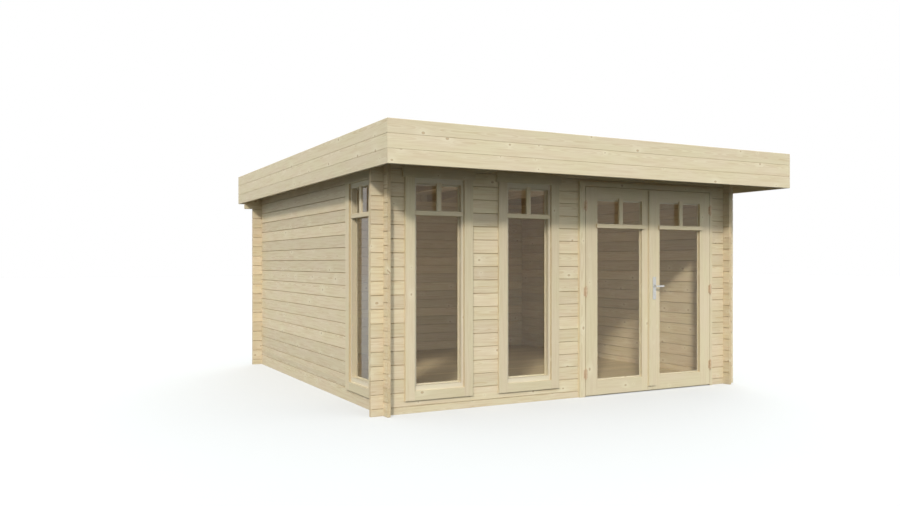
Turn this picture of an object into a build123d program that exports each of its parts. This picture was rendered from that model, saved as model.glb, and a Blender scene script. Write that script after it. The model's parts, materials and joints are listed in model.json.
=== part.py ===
"""Garden office pod: a flat-roofed log cabin with glazed double doors and three tall fixed windows.

Millimetres, +Z up, the front faces -Y, and the origin lies on the ground under the middle of the roof.
"""
import os

from build123d import *

# Logs: the courses of the front and back walls stand half a log lower than those of the side walls
log_height = 114
log_thickness = 28
log_chamfer = 4
tongue_width = 9
tongue_height = 7
tongue_clearance = 0.5
course_count = 18
notch_clearance = 0.15
log_end_gap = 1
cut_overrun = 5

# Walls, measured over the outer faces of the logs
house_width = 3780
house_depth = 3800
front_log_end = 110
side_log_end = 80

# The front wall's piers, left to right, as shares of the wall that the windows and the door leave
front_pier_shares = (0.2123, 0.2931, 0.2602)

# Roof
front_overhang = 603
back_overhang = 217
side_overhang = 226
purlin_width = 45
purlin_height = 95
purlin_count = 6
roof_board_thickness = 19
membrane_thickness = 3
kerb_thickness = 28
fascia_thickness = 20
fascia_board_height = 110
fascia_board_gap = 0.6
fascia_board_count = 3
fascia_chamfer = 2.5
fascia_drop = 99
mitre_gap = 0.2

# Floor
bearer_width = 45
bearer_height = 40
bearer_count = 9
floor_board_thickness = 19
floor_clearance = 0.3

# Windows: a deep glazed frame in the log opening, covered outside by flat trim boards
window_frame_width = 530
window_frame_depth = 60
window_stile = 54
window_bottom_rail = 50
window_top_rail = 51
window_side_gap = 3
window_glass_inset = 40
glass_thickness = 4
glass_clearance = 0.2
glazing_groove = 8
joint_gap = 0.3
trim_thickness = 20
trim_width = 84
trim_lap = 33.5
sill_trim_width = 76
sill_trim_lap = 10
head_trim_width = 80
head_trim_lap = 6
head_trim_extra = 23
side_window_place = 501

# Door frame: the jambs and head are grooved to slide over the sawn log ends
door_clear_width = 1553
door_proud = 24
door_frame_depth = 74
left_jamb_width = 60
right_jamb_width = 30
jamb_groove_depth = 15
head_width = 40
stop_width = 15
stop_clearance = 5
threshold_height = 6
threshold_stop = 30

# Door leaves
leaf_thickness = 44
leaf_gap = 6
meeting_gap = 8
left_leaf_width = 733
hinge_stile = 132
left_meeting_stile = 69
right_meeting_stile = 142
leaf_bottom_rail = 133
leaf_top_rail = 113
leaf_glass_inset = 20
meeting_strip_width = 84
meeting_strip_thickness = 16
meeting_strip_foot = 40
meeting_strip_head = 10

# Hinges, at shares of the leaf's height
hinge_height_shares = (0.104, 0.498, 0.909)
hinge_flap_height = 76
hinge_flap_width = 12
hinge_flap_thickness = 2.5
hinge_knuckle_radius = 8
hinge_knuckle_clearance = 1
hinge_rest_gap = 0.3

# Door handle
handle_backset = 61
handle_height = 1007
plate_width = 40
plate_above = 88
plate_below = 128
plate_thickness = 4
plate_corner = 4
spindle_side = 8
spindle_clearance = 0.3
spindle_mortise = 18
lever_height = 16
lever_thickness = 9
lever_reach = 36
lever_length = 90
lever_bend_radius = 14
lever_tip_radius = 4
lever_face_gap = 0.3

# Levels and places that follow from the sizes above
half_log = log_height / 2
side_wall_top = course_count * log_height
sill_level = half_log + log_height
lintel_level = side_wall_top - log_height
left_face = -house_width / 2
right_face = house_width / 2
front_face = (front_overhang - back_overhang - house_depth) / 2
back_face = front_face + house_depth
room_front = front_face + log_thickness
room_back = back_face - log_thickness
roof_half_width = house_width / 2 + side_overhang
roof_front = front_face - front_overhang
roof_back = back_face + back_overhang
eave_half_width = roof_half_width - fascia_thickness
eave_front = roof_front + fascia_thickness
eave_back = roof_back - fascia_thickness
roof_board_level = side_wall_top + purlin_height
roof_board_top = roof_board_level + roof_board_thickness
fascia_bottom = side_wall_top - fascia_drop
fascia_height = fascia_board_count * fascia_board_height + (fascia_board_count - 1) * fascia_board_gap
fascia_top = fascia_bottom + fascia_height
window_opening_half = window_frame_width / 2 + window_side_gap
trim_inner_half = window_frame_width / 2 - trim_lap
trim_outer_half = trim_inner_half + trim_width
door_frame_width = left_jamb_width + door_clear_width + right_jamb_width
piers_width = house_width - 4 * trim_outer_half - door_frame_width
left_pier, middle_pier, door_pier = [share * piers_width for share in front_pier_shares]
left_window_x = left_face + left_pier + trim_outer_half
middle_window_x = left_window_x + 2 * trim_outer_half + middle_pier
window_centres = (left_window_x, middle_window_x)
side_window_centre = front_face + side_window_place
head_left = middle_window_x + trim_outer_half + door_pier
head_right = head_left + door_frame_width
door_left = head_left + left_jamb_width
door_right = door_left + door_clear_width
door_face = front_face - door_proud
jamb_back = door_face + door_frame_depth
stop_front = door_face + leaf_thickness + stop_clearance
head_level = lintel_level - window_side_gap
leaf_bottom = threshold_height + leaf_gap
leaf_top = head_level - leaf_gap
left_leaf_start = door_left + leaf_gap
left_leaf_end = left_leaf_start + left_leaf_width
right_leaf_start = left_leaf_end + meeting_gap
right_leaf_end = door_right - leaf_gap
hinge_axis_y = door_face - hinge_knuckle_radius - hinge_knuckle_clearance
hinge_heights = [leaf_bottom + share * (leaf_top - leaf_bottom) for share in hinge_height_shares]
left_hinge_x = door_left + leaf_gap / 2
right_hinge_x = door_right - leaf_gap / 2
handle_x = right_leaf_start + handle_backset


def save(node, name):
    """Label a finished piece and write it to its own file."""
    node.part.label = name
    export_step(node.part, f"parts/{name}.step")


def log_outline(bottom, top, grooved=True, tongued=True):
    """Closed outline of one log: V joints on the outer face, a groove below and a tongue above."""
    middle = log_thickness / 2
    tongue = tongue_width / 2
    groove = tongue + tongue_clearance
    if grooved:
        groove_top = bottom + tongue_height + tongue_clearance
        points = [(0, bottom + log_chamfer), (middle - groove, bottom), (middle - groove, groove_top)]
        points += [(middle + groove, groove_top), (middle + groove, bottom), (log_thickness, bottom)]
    else:
        points = [(0, bottom), (log_thickness, bottom)]
    if tongued:
        points += [(log_thickness, top), (middle + tongue, top), (middle + tongue, top + tongue_height)]
        points += [(middle - tongue, top + tongue_height), (middle - tongue, top), (0, top - log_chamfer)]
    else:
        points += [(log_thickness, top), (0, top)]
    return points


def lay_logs(plane, length, outlines):
    """Extrude a stack of log outlines along a wall, from the plane's origin."""
    with BuildSketch(plane) as stack:
        for outline in outlines:
            with BuildLine():
                Polyline(*outline, close=True)
            make_face()
    extrude(stack.sketch, amount=length)


def log_plane(x, y, inward):
    """Upright plane at one end of a log: u goes inwards through the wall and v goes up."""
    across = Vector(*inward)
    return Plane(origin=(x, y, 0), x_dir=across, z_dir=across.cross(Vector(0, 0, 1)))


def front_course(index):
    """Bottom and top of a course in the front or back wall; the lowest and the highest are half logs."""
    top = half_log + index * log_height
    return max(0, top - log_height), min(top, side_wall_top)


def side_course(index):
    """Bottom and top of a course in a side wall."""
    return index * log_height, (index + 1) * log_height


def front_outline(index):
    """Outline of a front or back log; the bottom one is flat and the closing half log has no tongue."""
    return log_outline(*front_course(index), index > 0, index < course_count)


def side_outline(index):
    """Outline of a side log; the bottom one is flat and the top one has no tongue."""
    return log_outline(*side_course(index), index > 0, index < course_count - 1)


def cut_corners(crossings, bottoms):
    """Cut the saddle notches: each log is hollowed from below to sit over the one that it crosses."""
    notch_width = log_thickness + 2 * notch_clearance
    depth = half_log + tongue_height + tongue_clearance
    rise = (depth - cut_overrun) / 2
    with Locations(*[(x, y, z + rise) for x, y in crossings for z in bottoms]):
        Box(notch_width, notch_width, depth + cut_overrun, mode=Mode.SUBTRACT)


os.makedirs("parts", exist_ok=True)
outer_left = left_face - front_log_end
outer_right = right_face + front_log_end
outer_front = front_face - side_log_end
outer_back = back_face + side_log_end
top_course = course_count - 1
left_log_middle = left_face + log_thickness / 2
right_log_middle = right_face - log_thickness / 2
front_log_middle = front_face + log_thickness / 2
back_log_middle = back_face - log_thickness / 2
front_crossings = [(left_log_middle, front_log_middle), (right_log_middle, front_log_middle)]
back_crossings = [(left_log_middle, back_log_middle), (right_log_middle, back_log_middle)]
left_crossings = [front_crossings[0], back_crossings[0]]
right_crossings = [front_crossings[1], back_crossings[1]]
closing_half = house_width / 2 - log_thickness - log_end_gap

# Front wall: logs are sawn beside the two windows and the door, and a half log closes the top
left_log_stop = head_left + jamb_groove_depth - log_end_gap
right_log_start = head_right - jamb_groove_depth + log_end_gap
whole_spans = [(outer_left, left_log_stop), (right_log_start, outer_right)]
cut_spans = [
    (outer_left, left_window_x - window_opening_half),
    (left_window_x + window_opening_half, middle_window_x - window_opening_half),
    (middle_window_x + window_opening_half, left_log_stop),
    (right_log_start, outer_right),
]
inward = (0, 1, 0)
for name, first in (("front_wall_even_logs", 0), ("front_wall_odd_logs", 1)):
    courses = list(range(first + 2, top_course, 2))
    with BuildPart() as front_logs:
        for start, end in whole_spans:
            lay_logs(log_plane(start, front_face, inward), end - start, [front_outline(first)])
        for start, end in cut_spans:
            lay_logs(log_plane(start, front_face, inward), end - start, [front_outline(i) for i in courses])
        cut_corners(front_crossings, [front_course(i)[0] for i in [first, *courses] if i > 0])
        if first == 0:
            closing_plane = log_plane(-closing_half, front_face, inward)
            lay_logs(closing_plane, 2 * closing_half, [front_outline(course_count)])
        else:
            with BuildSketch(Plane.XY.offset(sill_level)):
                with Locations(*[(x, front_log_middle) for x in window_centres]):
                    Rectangle(2 * window_opening_half, log_thickness)
            extrude(amount=tongue_height + cut_overrun, mode=Mode.SUBTRACT)
    save(front_logs, name)

# The front wall's top log runs the whole width and is notched over the windows and the door head
door_notch_top = head_level + head_width - jamb_groove_depth + log_end_gap
with BuildPart() as front_top_log:
    lay_logs(log_plane(outer_left, front_face, inward), outer_right - outer_left, [front_outline(top_course)])
    bottom = front_course(top_course)[0]
    cut_corners(front_crossings, [bottom])
    cuts = [(x - window_opening_half, x + window_opening_half, lintel_level) for x in window_centres]
    cuts += [(head_left - log_end_gap, head_right + log_end_gap, door_notch_top)]
    for start, end, level in cuts:
        with BuildSketch(Plane.XY.offset(bottom - cut_overrun)):
            with Locations(((start + end) / 2, front_log_middle)):
                Rectangle(end - start, log_thickness + 2 * cut_overrun)
        extrude(amount=level - bottom + cut_overrun, mode=Mode.SUBTRACT)
save(front_top_log, "front_wall_top_log")

# Back wall: whole logs, the top one carried out under the eaves on both sides, and a closing half log
inward = (0, -1, 0)
for name, first in (("back_wall_even_logs", 0), ("back_wall_odd_logs", 1)):
    courses = list(range(first, top_course, 2))
    with BuildPart() as back_logs:
        outlines = [front_outline(i) for i in courses]
        lay_logs(log_plane(outer_right, back_face, inward), outer_right - outer_left, outlines)
        if first == 1:
            courses += [top_course]
            eave_plane = log_plane(eave_half_width, back_face, inward)
            lay_logs(eave_plane, 2 * eave_half_width, [front_outline(top_course)])
        cut_corners(back_crossings, [front_course(i)[0] for i in courses if i > 0])
        if first == 0:
            closing_plane = log_plane(closing_half, back_face, inward)
            lay_logs(closing_plane, 2 * closing_half, [front_outline(course_count)])
    save(back_logs, name)

# Side walls: the left one has a window near the front corner
window_back = side_window_centre + window_opening_half
window_front = side_window_centre - window_opening_half
for side, face, inward, log_start, crossings in (
    ("left", left_face, (1, 0, 0), outer_back, left_crossings),
    ("right", right_face, (-1, 0, 0), outer_front, right_crossings),
):
    for parity, first in (("even", 0), ("odd", 1)):
        courses = list(range(first, course_count, 2))
        split = [i for i in courses if side == "left" and sill_level <= side_course(i)[0] < lintel_level]
        with BuildPart() as side_logs:
            outlines = [side_outline(i) for i in courses if i not in split]
            lay_logs(log_plane(face, log_start, inward), outer_back - outer_front, outlines)
            if split:
                outlines = [side_outline(i) for i in split]
                lay_logs(log_plane(face, outer_back, inward), outer_back - window_back, outlines)
                lay_logs(log_plane(face, window_front, inward), window_front - outer_front, outlines)
            cut_corners(crossings, [side_course(i)[0] for i in courses])
            if side == "left" and first == 1:
                with BuildSketch(Plane.XY.offset(sill_level)):
                    with Locations((left_log_middle, side_window_centre)):
                        Rectangle(log_thickness + 2 * cut_overrun, 2 * window_opening_half)
                extrude(amount=half_log + cut_overrun + tongue_height, mode=Mode.SUBTRACT)
        save(side_logs, f"{side}_wall_{parity}_logs")

# Floor: bearers on the ground and a deck of boards on them
room_half_width = house_width / 2 - log_thickness - floor_clearance
floor_front = room_front + floor_clearance
floor_back = room_back - floor_clearance
floor_depth = floor_back - floor_front
floor_centre = (floor_front + floor_back) / 2
bearer_pitch = (2 * room_half_width - bearer_width) / (bearer_count - 1)
bearer_front = jamb_back + floor_clearance
bearer_length = floor_back - bearer_front
with BuildPart() as bearers:
    with BuildSketch():
        with Locations((0, (bearer_front + floor_back) / 2)):
            with GridLocations(bearer_pitch, bearer_length, bearer_count, 1):
                Rectangle(bearer_width, bearer_length)
    extrude(amount=bearer_height)
save(bearers, "floor_bearers")

with BuildPart() as floor_boards:
    with BuildSketch(Plane.XY.offset(bearer_height)):
        with Locations((0, floor_centre)):
            Rectangle(2 * room_half_width, floor_depth)
        recess_left = head_left - floor_clearance
        recess_right = head_right + floor_clearance
        recess_depth = jamb_back + floor_clearance - floor_front
        with Locations(((recess_left + recess_right) / 2, floor_front)):
            Rectangle(recess_right - recess_left, 2 * recess_depth, mode=Mode.SUBTRACT)
    extrude(amount=floor_board_thickness)
save(floor_boards, "floor_boards")


def wall_plane(centre_x, centre_y, turned):
    """Upright plane on a wall's outer face: u runs along the wall, v runs up and the normal points out."""
    if turned:
        return Plane(origin=(centre_x, centre_y, 0), x_dir=(0, -1, 0), z_dir=(-1, 0, 0))
    return Plane(origin=(centre_x, centre_y, 0), x_dir=(1, 0, 0), z_dir=(0, -1, 0))


def frame_members(plane, left, right, bottom, top, members, depth):
    """Two full-height stiles and two rails between them, as separate timbers behind the plane."""
    left_stile, right_stile, bottom_rail, top_rail = members
    rail_start = left + left_stile + joint_gap
    rail_end = right - right_stile - joint_gap
    with BuildSketch(plane) as members_sketch:
        with Locations((left + left_stile / 2, (bottom + top) / 2)):
            Rectangle(left_stile, top - bottom)
        with Locations((right - right_stile / 2, (bottom + top) / 2)):
            Rectangle(right_stile, top - bottom)
        with Locations(((rail_start + rail_end) / 2, bottom + bottom_rail / 2)):
            Rectangle(rail_end - rail_start, bottom_rail)
        with Locations(((rail_start + rail_end) / 2, top - top_rail / 2)):
            Rectangle(rail_end - rail_start, top_rail)
    extrude(members_sketch.sketch, amount=-depth)


def pane(plane, left, right, bottom, top, thickness, mode=Mode.ADD):
    """Flat sheet behind the plane between four edges."""
    with BuildSketch(plane) as sheet:
        with Locations(((left + right) / 2, (bottom + top) / 2)):
            Rectangle(right - left, top - bottom)
    extrude(sheet.sketch, amount=-thickness, mode=mode)


def glazed_frame(plane, left, right, bottom, top, members, depth, inset):
    """A frame grooved for its pane, and the pane; returns both builders."""
    left_stile, right_stile, bottom_rail, top_rail = members
    edges = (
        left + left_stile - glazing_groove,
        right - right_stile + glazing_groove,
        bottom + bottom_rail - glazing_groove,
        top - top_rail + glazing_groove,
    )
    groove_plane = plane.offset(glass_clearance - inset)
    with BuildPart() as frame:
        frame_members(plane, left, right, bottom, top, members, depth)
        pane(groove_plane, *edges, glass_thickness + 2 * glass_clearance, mode=Mode.SUBTRACT)
    with BuildPart() as glass:
        low_left, high_right, low, high = edges
        pane(
            plane.offset(-inset),
            low_left + glass_clearance,
            high_right - glass_clearance,
            low,
            high - glass_clearance,
            glass_thickness,
        )
    return frame, glass


def window_trim(plane):
    """Two side boards with a sill board between them and a wider head board, flat on the wall."""
    sill_top = sill_level + sill_trim_lap
    sill_bottom = sill_top - sill_trim_width
    head_bottom = lintel_level - window_side_gap - head_trim_lap
    head_half = trim_outer_half + head_trim_extra
    sill_half = trim_inner_half - joint_gap
    side_top = head_bottom - joint_gap
    with BuildPart() as trim:
        pane(plane, -sill_half, sill_half, sill_bottom, sill_top, -trim_thickness)
        pane(plane, -trim_outer_half, -trim_inner_half, sill_bottom, side_top, -trim_thickness)
        pane(plane, trim_inner_half, trim_outer_half, sill_bottom, side_top, -trim_thickness)
        pane(plane, -head_half, head_half, head_bottom, head_bottom + head_trim_width, -trim_thickness)
    return trim


# Windows
window_members = (window_stile, window_stile, window_bottom_rail, window_top_rail)
window_places = (
    ("front_left_window", wall_plane(left_window_x, front_face, False)),
    ("front_middle_window", wall_plane(middle_window_x, front_face, False)),
    ("side_window", wall_plane(left_face, side_window_centre, True)),
)
for name, plane in window_places:
    window_frame, window_glass = glazed_frame(
        plane,
        -window_frame_width / 2,
        window_frame_width / 2,
        sill_level,
        lintel_level - window_side_gap,
        window_members,
        window_frame_depth,
        window_glass_inset,
    )
    save(window_frame, f"{name}_frame")
    save(window_glass, f"{name}_glass")
    save(window_trim(plane), f"{name}_trim")


def jamb_outline(edge, side, width):
    """Plan of a jamb: a stop behind the leaf and a groove that takes the log ends.

    edge is the jamb's face towards the leaf, and side is -1 for the left jamb and 1 for the right.
    """
    outer = edge + side * width
    groove = outer - side * jamb_groove_depth
    return [
        (edge, door_face),
        (outer, door_face),
        (outer, front_face),
        (groove, front_face),
        (groove, room_front),
        (outer, room_front),
        (outer, jamb_back),
        (edge - side * stop_width, jamb_back),
        (edge - side * stop_width, stop_front),
        (edge, stop_front),
    ]


# Door frame
jamb_top = head_level + head_width
for name, edge, side, width in (
    ("door_left_jamb", door_left, -1, left_jamb_width),
    ("door_right_jamb", door_right, 1, right_jamb_width),
):
    with BuildPart() as jamb:
        with BuildSketch():
            with BuildLine():
                Polyline(*jamb_outline(edge, side, width), close=True)
            make_face()
        extrude(amount=head_level - joint_gap)
    save(jamb, name)

with BuildPart() as door_head:
    groove_bottom = jamb_top - jamb_groove_depth
    with BuildSketch(Plane(origin=(head_left, 0, 0), x_dir=(0, 1, 0), z_dir=(1, 0, 0))):
        with BuildLine():
            Polyline(
                (door_face, head_level),
                (door_face, jamb_top),
                (front_face, jamb_top),
                (front_face, groove_bottom),
                (room_front, groove_bottom),
                (room_front, jamb_top),
                (jamb_back, jamb_top),
                (jamb_back, head_level),
                close=True,
            )
        make_face()
    extrude(amount=head_right - head_left)
save(door_head, "door_head")

# The threshold is a low lip under the leaves with a stop behind them
threshold_start = door_left + stop_width + joint_gap
threshold_end = door_right - stop_width - joint_gap
with BuildPart() as threshold:
    with BuildSketch(Plane(origin=(threshold_start, 0, 0), x_dir=(0, 1, 0), z_dir=(1, 0, 0))):
        with BuildLine():
            Polyline(
                (front_face, 0),
                (front_face, threshold_height),
                (stop_front, threshold_height),
                (stop_front, threshold_stop),
                (jamb_back, threshold_stop),
                (jamb_back, 0),
                close=True,
            )
        make_face()
    extrude(amount=threshold_end - threshold_start)
save(threshold, "door_threshold")

# Door leaves
leaf_plane = wall_plane(0, door_face, False)
left_members = (hinge_stile, left_meeting_stile, leaf_bottom_rail, leaf_top_rail)
left_leaf, left_glass = glazed_frame(
    leaf_plane, left_leaf_start, left_leaf_end, leaf_bottom, leaf_top, left_members, leaf_thickness, leaf_glass_inset
)
save(left_leaf, "left_leaf_frame")
save(left_glass, "left_leaf_glass")

right_members = (right_meeting_stile, hinge_stile, leaf_bottom_rail, leaf_top_rail)
right_leaf, right_glass = glazed_frame(
    leaf_plane, right_leaf_start, right_leaf_end, leaf_bottom, leaf_top, right_members, leaf_thickness, leaf_glass_inset
)
with right_leaf:
    with Locations((handle_x, door_face, handle_height)):
        Box(spindle_mortise, 2 * (leaf_thickness + cut_overrun), spindle_mortise, mode=Mode.SUBTRACT)
save(right_leaf, "right_leaf_frame")
save(right_glass, "right_leaf_glass")

with BuildPart() as meeting_strip:
    pane(
        leaf_plane,
        right_leaf_start,
        right_leaf_start + meeting_strip_width,
        leaf_bottom + meeting_strip_foot,
        leaf_top - meeting_strip_head,
        -meeting_strip_thickness,
    )
    with Locations((handle_x, door_face, handle_height)):
        Box(spindle_mortise, 2 * (meeting_strip_thickness + cut_overrun), spindle_mortise, mode=Mode.SUBTRACT)
save(meeting_strip, "right_leaf_meeting_strip")


def hinge_half(axis_x, side, height, upper):
    """Half of a lift-off hinge: a flap on the timber and a knuckle joined to it by a lug.

    side is the way the flap points along X; the upper half stands on the lower one.
    """
    lug_width = hinge_knuckle_radius + hinge_knuckle_clearance
    lug_height = hinge_flap_height / 2 - hinge_rest_gap
    lug_bottom = height + hinge_rest_gap if upper else height - hinge_flap_height / 2
    flap_y = door_face - hinge_flap_thickness / 2
    with BuildSketch(Plane.XY.offset(lug_bottom)) as knuckle:
        with Locations((axis_x, hinge_axis_y)):
            Circle(hinge_knuckle_radius)
        with Locations((axis_x + side * lug_width / 2, flap_y)):
            Rectangle(lug_width, hinge_flap_thickness)
    extrude(knuckle.sketch, amount=lug_height)
    with Locations((axis_x + side * (lug_width + hinge_flap_width / 2), flap_y, height)):
        Box(hinge_flap_width, hinge_flap_thickness, hinge_flap_height)


# Hinges: three to a leaf, the lower half on the jamb and the upper half on the leaf
for name, axis_x, side, upper in (
    ("left_jamb_hinges", left_hinge_x, -1, False),
    ("left_leaf_hinges", left_hinge_x, 1, True),
    ("right_jamb_hinges", right_hinge_x, 1, False),
    ("right_leaf_hinges", right_hinge_x, -1, True),
):
    with BuildPart() as hinges:
        for height in hinge_heights:
            hinge_half(axis_x, side, height, upper)
    save(hinges, name)

# Door handle: a long plate on each side of the right leaf, and two levers on one square spindle
strip_face = door_face - meeting_strip_thickness
leaf_back = door_face + leaf_thickness
plate_height = plate_above + plate_below
plate_middle = handle_height + (plate_above - plate_below) / 2
plate_bore_radius = Vector(spindle_side / 2, spindle_side / 2).length + spindle_clearance
with BuildPart() as handle_plates:
    for face, thickness in ((strip_face, plate_thickness), (leaf_back, -plate_thickness)):
        with BuildSketch(wall_plane(handle_x, face, False)) as plate:
            with Locations((0, plate_middle)):
                Rectangle(plate_width, plate_height)
            chamfer(plate.vertices(), plate_corner)
            with Locations((0, handle_height)):
                Circle(plate_bore_radius, mode=Mode.SUBTRACT)
        extrude(amount=thickness)
save(handle_plates, "door_handle_plates")

outer_plate_face = strip_face - plate_thickness
inner_plate_face = leaf_back + plate_thickness
with BuildPart() as levers:
    spindle_length = inner_plate_face - outer_plate_face + lever_reach
    with Locations((handle_x, (outer_plate_face + inner_plate_face) / 2, handle_height)):
        Box(spindle_side, spindle_length, spindle_side)
    for face, out in ((outer_plate_face, -1), (inner_plate_face, 1)):
        root = face + out * lever_face_gap
        reach = face + out * lever_reach
        with BuildSketch(Plane.XY.offset(handle_height - lever_height / 2)):
            with BuildLine():
                FilletPolyline(
                    (handle_x, root),
                    (handle_x, reach),
                    (handle_x + lever_length, reach),
                    radius=lever_bend_radius,
                )
            trace(line_width=lever_thickness)
        extrude(amount=lever_height)
    fillet(levers.edges().filter_by(Axis.Z).group_by(Axis.X)[-1], lever_tip_radius)
save(levers, "door_lever")

# Roof: purlins from front to back on the walls, blocking between them, boards, membrane and kerb
purlin_pitch = (right_log_middle - left_log_middle) / (purlin_count - 1)
eave_middle = (eave_front + eave_back) / 2
eave_depth = eave_back - eave_front
with BuildPart() as purlins:
    with BuildSketch(Plane.XY.offset(side_wall_top)):
        with Locations((0, eave_middle)):
            with GridLocations(purlin_pitch, eave_depth, purlin_count, 1):
                Rectangle(purlin_width, eave_depth)
    extrude(amount=purlin_height)
save(purlins, "roof_purlins")

blocking_length = purlin_pitch - purlin_width - 2 * joint_gap
with BuildPart() as blocking:
    with BuildSketch(Plane.XY.offset(side_wall_top)):
        with Locations((0, (front_log_middle + back_log_middle) / 2)):
            with GridLocations(purlin_pitch, back_log_middle - front_log_middle, purlin_count - 1, 2):
                Rectangle(blocking_length, log_thickness)
    extrude(amount=purlin_height)
save(blocking, "eave_blocking")

with BuildPart() as roof_boards:
    with BuildSketch(Plane.XY.offset(roof_board_level)):
        with Locations((0, eave_middle)):
            Rectangle(2 * eave_half_width, eave_depth)
    extrude(amount=roof_board_thickness)
save(roof_boards, "roof_boards")

tray_half_width = eave_half_width - kerb_thickness
tray_depth = eave_depth - 2 * kerb_thickness
with BuildPart() as kerb:
    with BuildSketch(Plane.XY.offset(roof_board_top)):
        with Locations((0, eave_front + kerb_thickness / 2), (0, eave_back - kerb_thickness / 2)):
            Rectangle(2 * eave_half_width, kerb_thickness)
        side_place = eave_half_width - kerb_thickness / 2
        with Locations((-side_place, eave_middle), (side_place, eave_middle)):
            Rectangle(kerb_thickness, tray_depth - 2 * joint_gap)
    extrude(amount=fascia_top - roof_board_top)
save(kerb, "roof_kerb")

with BuildPart() as membrane:
    with BuildSketch(Plane.XY.offset(roof_board_top)):
        with Locations((0, eave_middle)):
            Rectangle(2 * tray_half_width - 2 * joint_gap, tray_depth - 2 * joint_gap)
    extrude(amount=membrane_thickness)
save(membrane, "roof_membrane")

# Fascia: three boards on each side, mitred at the corners, with a V joint between boards
roof_half_depth = (roof_back - roof_front) / 2
fascia_sides = (
    ("front_fascia", 0, roof_half_width, roof_half_depth),
    ("right_fascia", 90, roof_half_depth, roof_half_width),
    ("back_fascia", 180, roof_half_width, roof_half_depth),
    ("left_fascia", 270, roof_half_depth, roof_half_width),
)
for name, turn, half_length, distance in fascia_sides:
    with BuildPart() as fascia:
        for row in range(fascia_board_count):
            level = fascia_bottom + row * (fascia_board_height + fascia_board_gap)
            with BuildSketch(Plane.XY.offset(level).rotated((0, 0, turn))):
                with BuildLine():
                    outer_half = half_length - mitre_gap
                    inner_half = outer_half - fascia_thickness
                    Polyline(
                        (-outer_half, -distance),
                        (outer_half, -distance),
                        (inner_half, fascia_thickness - distance),
                        (-inner_half, fascia_thickness - distance),
                        close=True,
                    )
                make_face()
            extrude(amount=fascia_board_height)
        run_axis = Axis.X if turn in (0, 180) else Axis.Y
        out_axis = Axis.Y if turn in (0, 180) else Axis.X
        outer_edges = fascia.edges().filter_by(run_axis).group_by(out_axis)[0 if turn in (0, 270) else -1]
        chamfer(outer_edges, fascia_chamfer)
    save(fascia, name)
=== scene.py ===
"""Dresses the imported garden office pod: spruce, glass and metal finishes, glazing bars, boards and light.

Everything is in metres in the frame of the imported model: +Z up, the front faces -Y.
"""
import json
import logging
import math
from dataclasses import dataclass
from enum import Enum
from typing import ClassVar, Sequence

import bmesh
import bpy
import numpy as np
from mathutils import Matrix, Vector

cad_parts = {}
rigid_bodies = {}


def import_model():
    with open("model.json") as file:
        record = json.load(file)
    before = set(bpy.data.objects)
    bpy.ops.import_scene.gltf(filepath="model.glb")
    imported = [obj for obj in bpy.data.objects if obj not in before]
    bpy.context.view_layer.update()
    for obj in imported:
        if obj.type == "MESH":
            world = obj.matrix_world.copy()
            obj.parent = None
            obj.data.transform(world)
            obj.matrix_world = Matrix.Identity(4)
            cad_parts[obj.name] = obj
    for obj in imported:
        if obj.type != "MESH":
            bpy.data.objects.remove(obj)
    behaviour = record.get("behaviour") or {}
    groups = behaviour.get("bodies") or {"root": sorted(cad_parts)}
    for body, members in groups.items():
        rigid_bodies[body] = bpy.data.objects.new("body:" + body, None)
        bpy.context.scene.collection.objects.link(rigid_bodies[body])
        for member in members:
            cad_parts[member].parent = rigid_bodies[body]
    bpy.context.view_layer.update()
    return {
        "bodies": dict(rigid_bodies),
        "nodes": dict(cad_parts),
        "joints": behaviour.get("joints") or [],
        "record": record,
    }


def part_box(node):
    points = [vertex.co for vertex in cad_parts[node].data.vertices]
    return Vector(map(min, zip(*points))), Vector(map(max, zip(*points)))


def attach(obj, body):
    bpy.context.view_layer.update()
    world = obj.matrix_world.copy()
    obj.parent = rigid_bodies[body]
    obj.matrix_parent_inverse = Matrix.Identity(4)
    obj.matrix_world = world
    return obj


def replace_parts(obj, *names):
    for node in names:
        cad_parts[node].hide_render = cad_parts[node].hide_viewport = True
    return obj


LOG = logging.getLogger("garden_pod")

Colour = tuple[float, float, float]
Point = tuple[float, float, float]
Range = tuple[float, float]
Socket = bpy.types.NodeSocket
Mesh = tuple[np.ndarray, np.ndarray]
Nodes = dict[str, bpy.types.Object]

ACROSS = np.array([1.0, 0.0, 0.0])
DEEP = np.array([0.0, 1.0, 0.0])
UP = np.array([0.0, 0.0, 1.0])
CABIN = "cabin"
LOG_HEIGHT = 0.114
COURSES = 18
MERGE_DISTANCE = 1e-6
# More than the pod measures: the pitch of a timber without joints, and a limit that is never met
WHOLE = 10.0


class Grain(Enum):
    """The way that the fibres of a timber run."""

    ALONG_X = "x"
    ALONG_Y = "y"
    UPRIGHT = "z"


class MixKind(Enum):
    """What a mix node blends: its data type, its first input of that type and its output."""

    COLOUR = ("RGBA", 6, 2)
    VECTOR = ("VECTOR", 4, 1)


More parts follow.
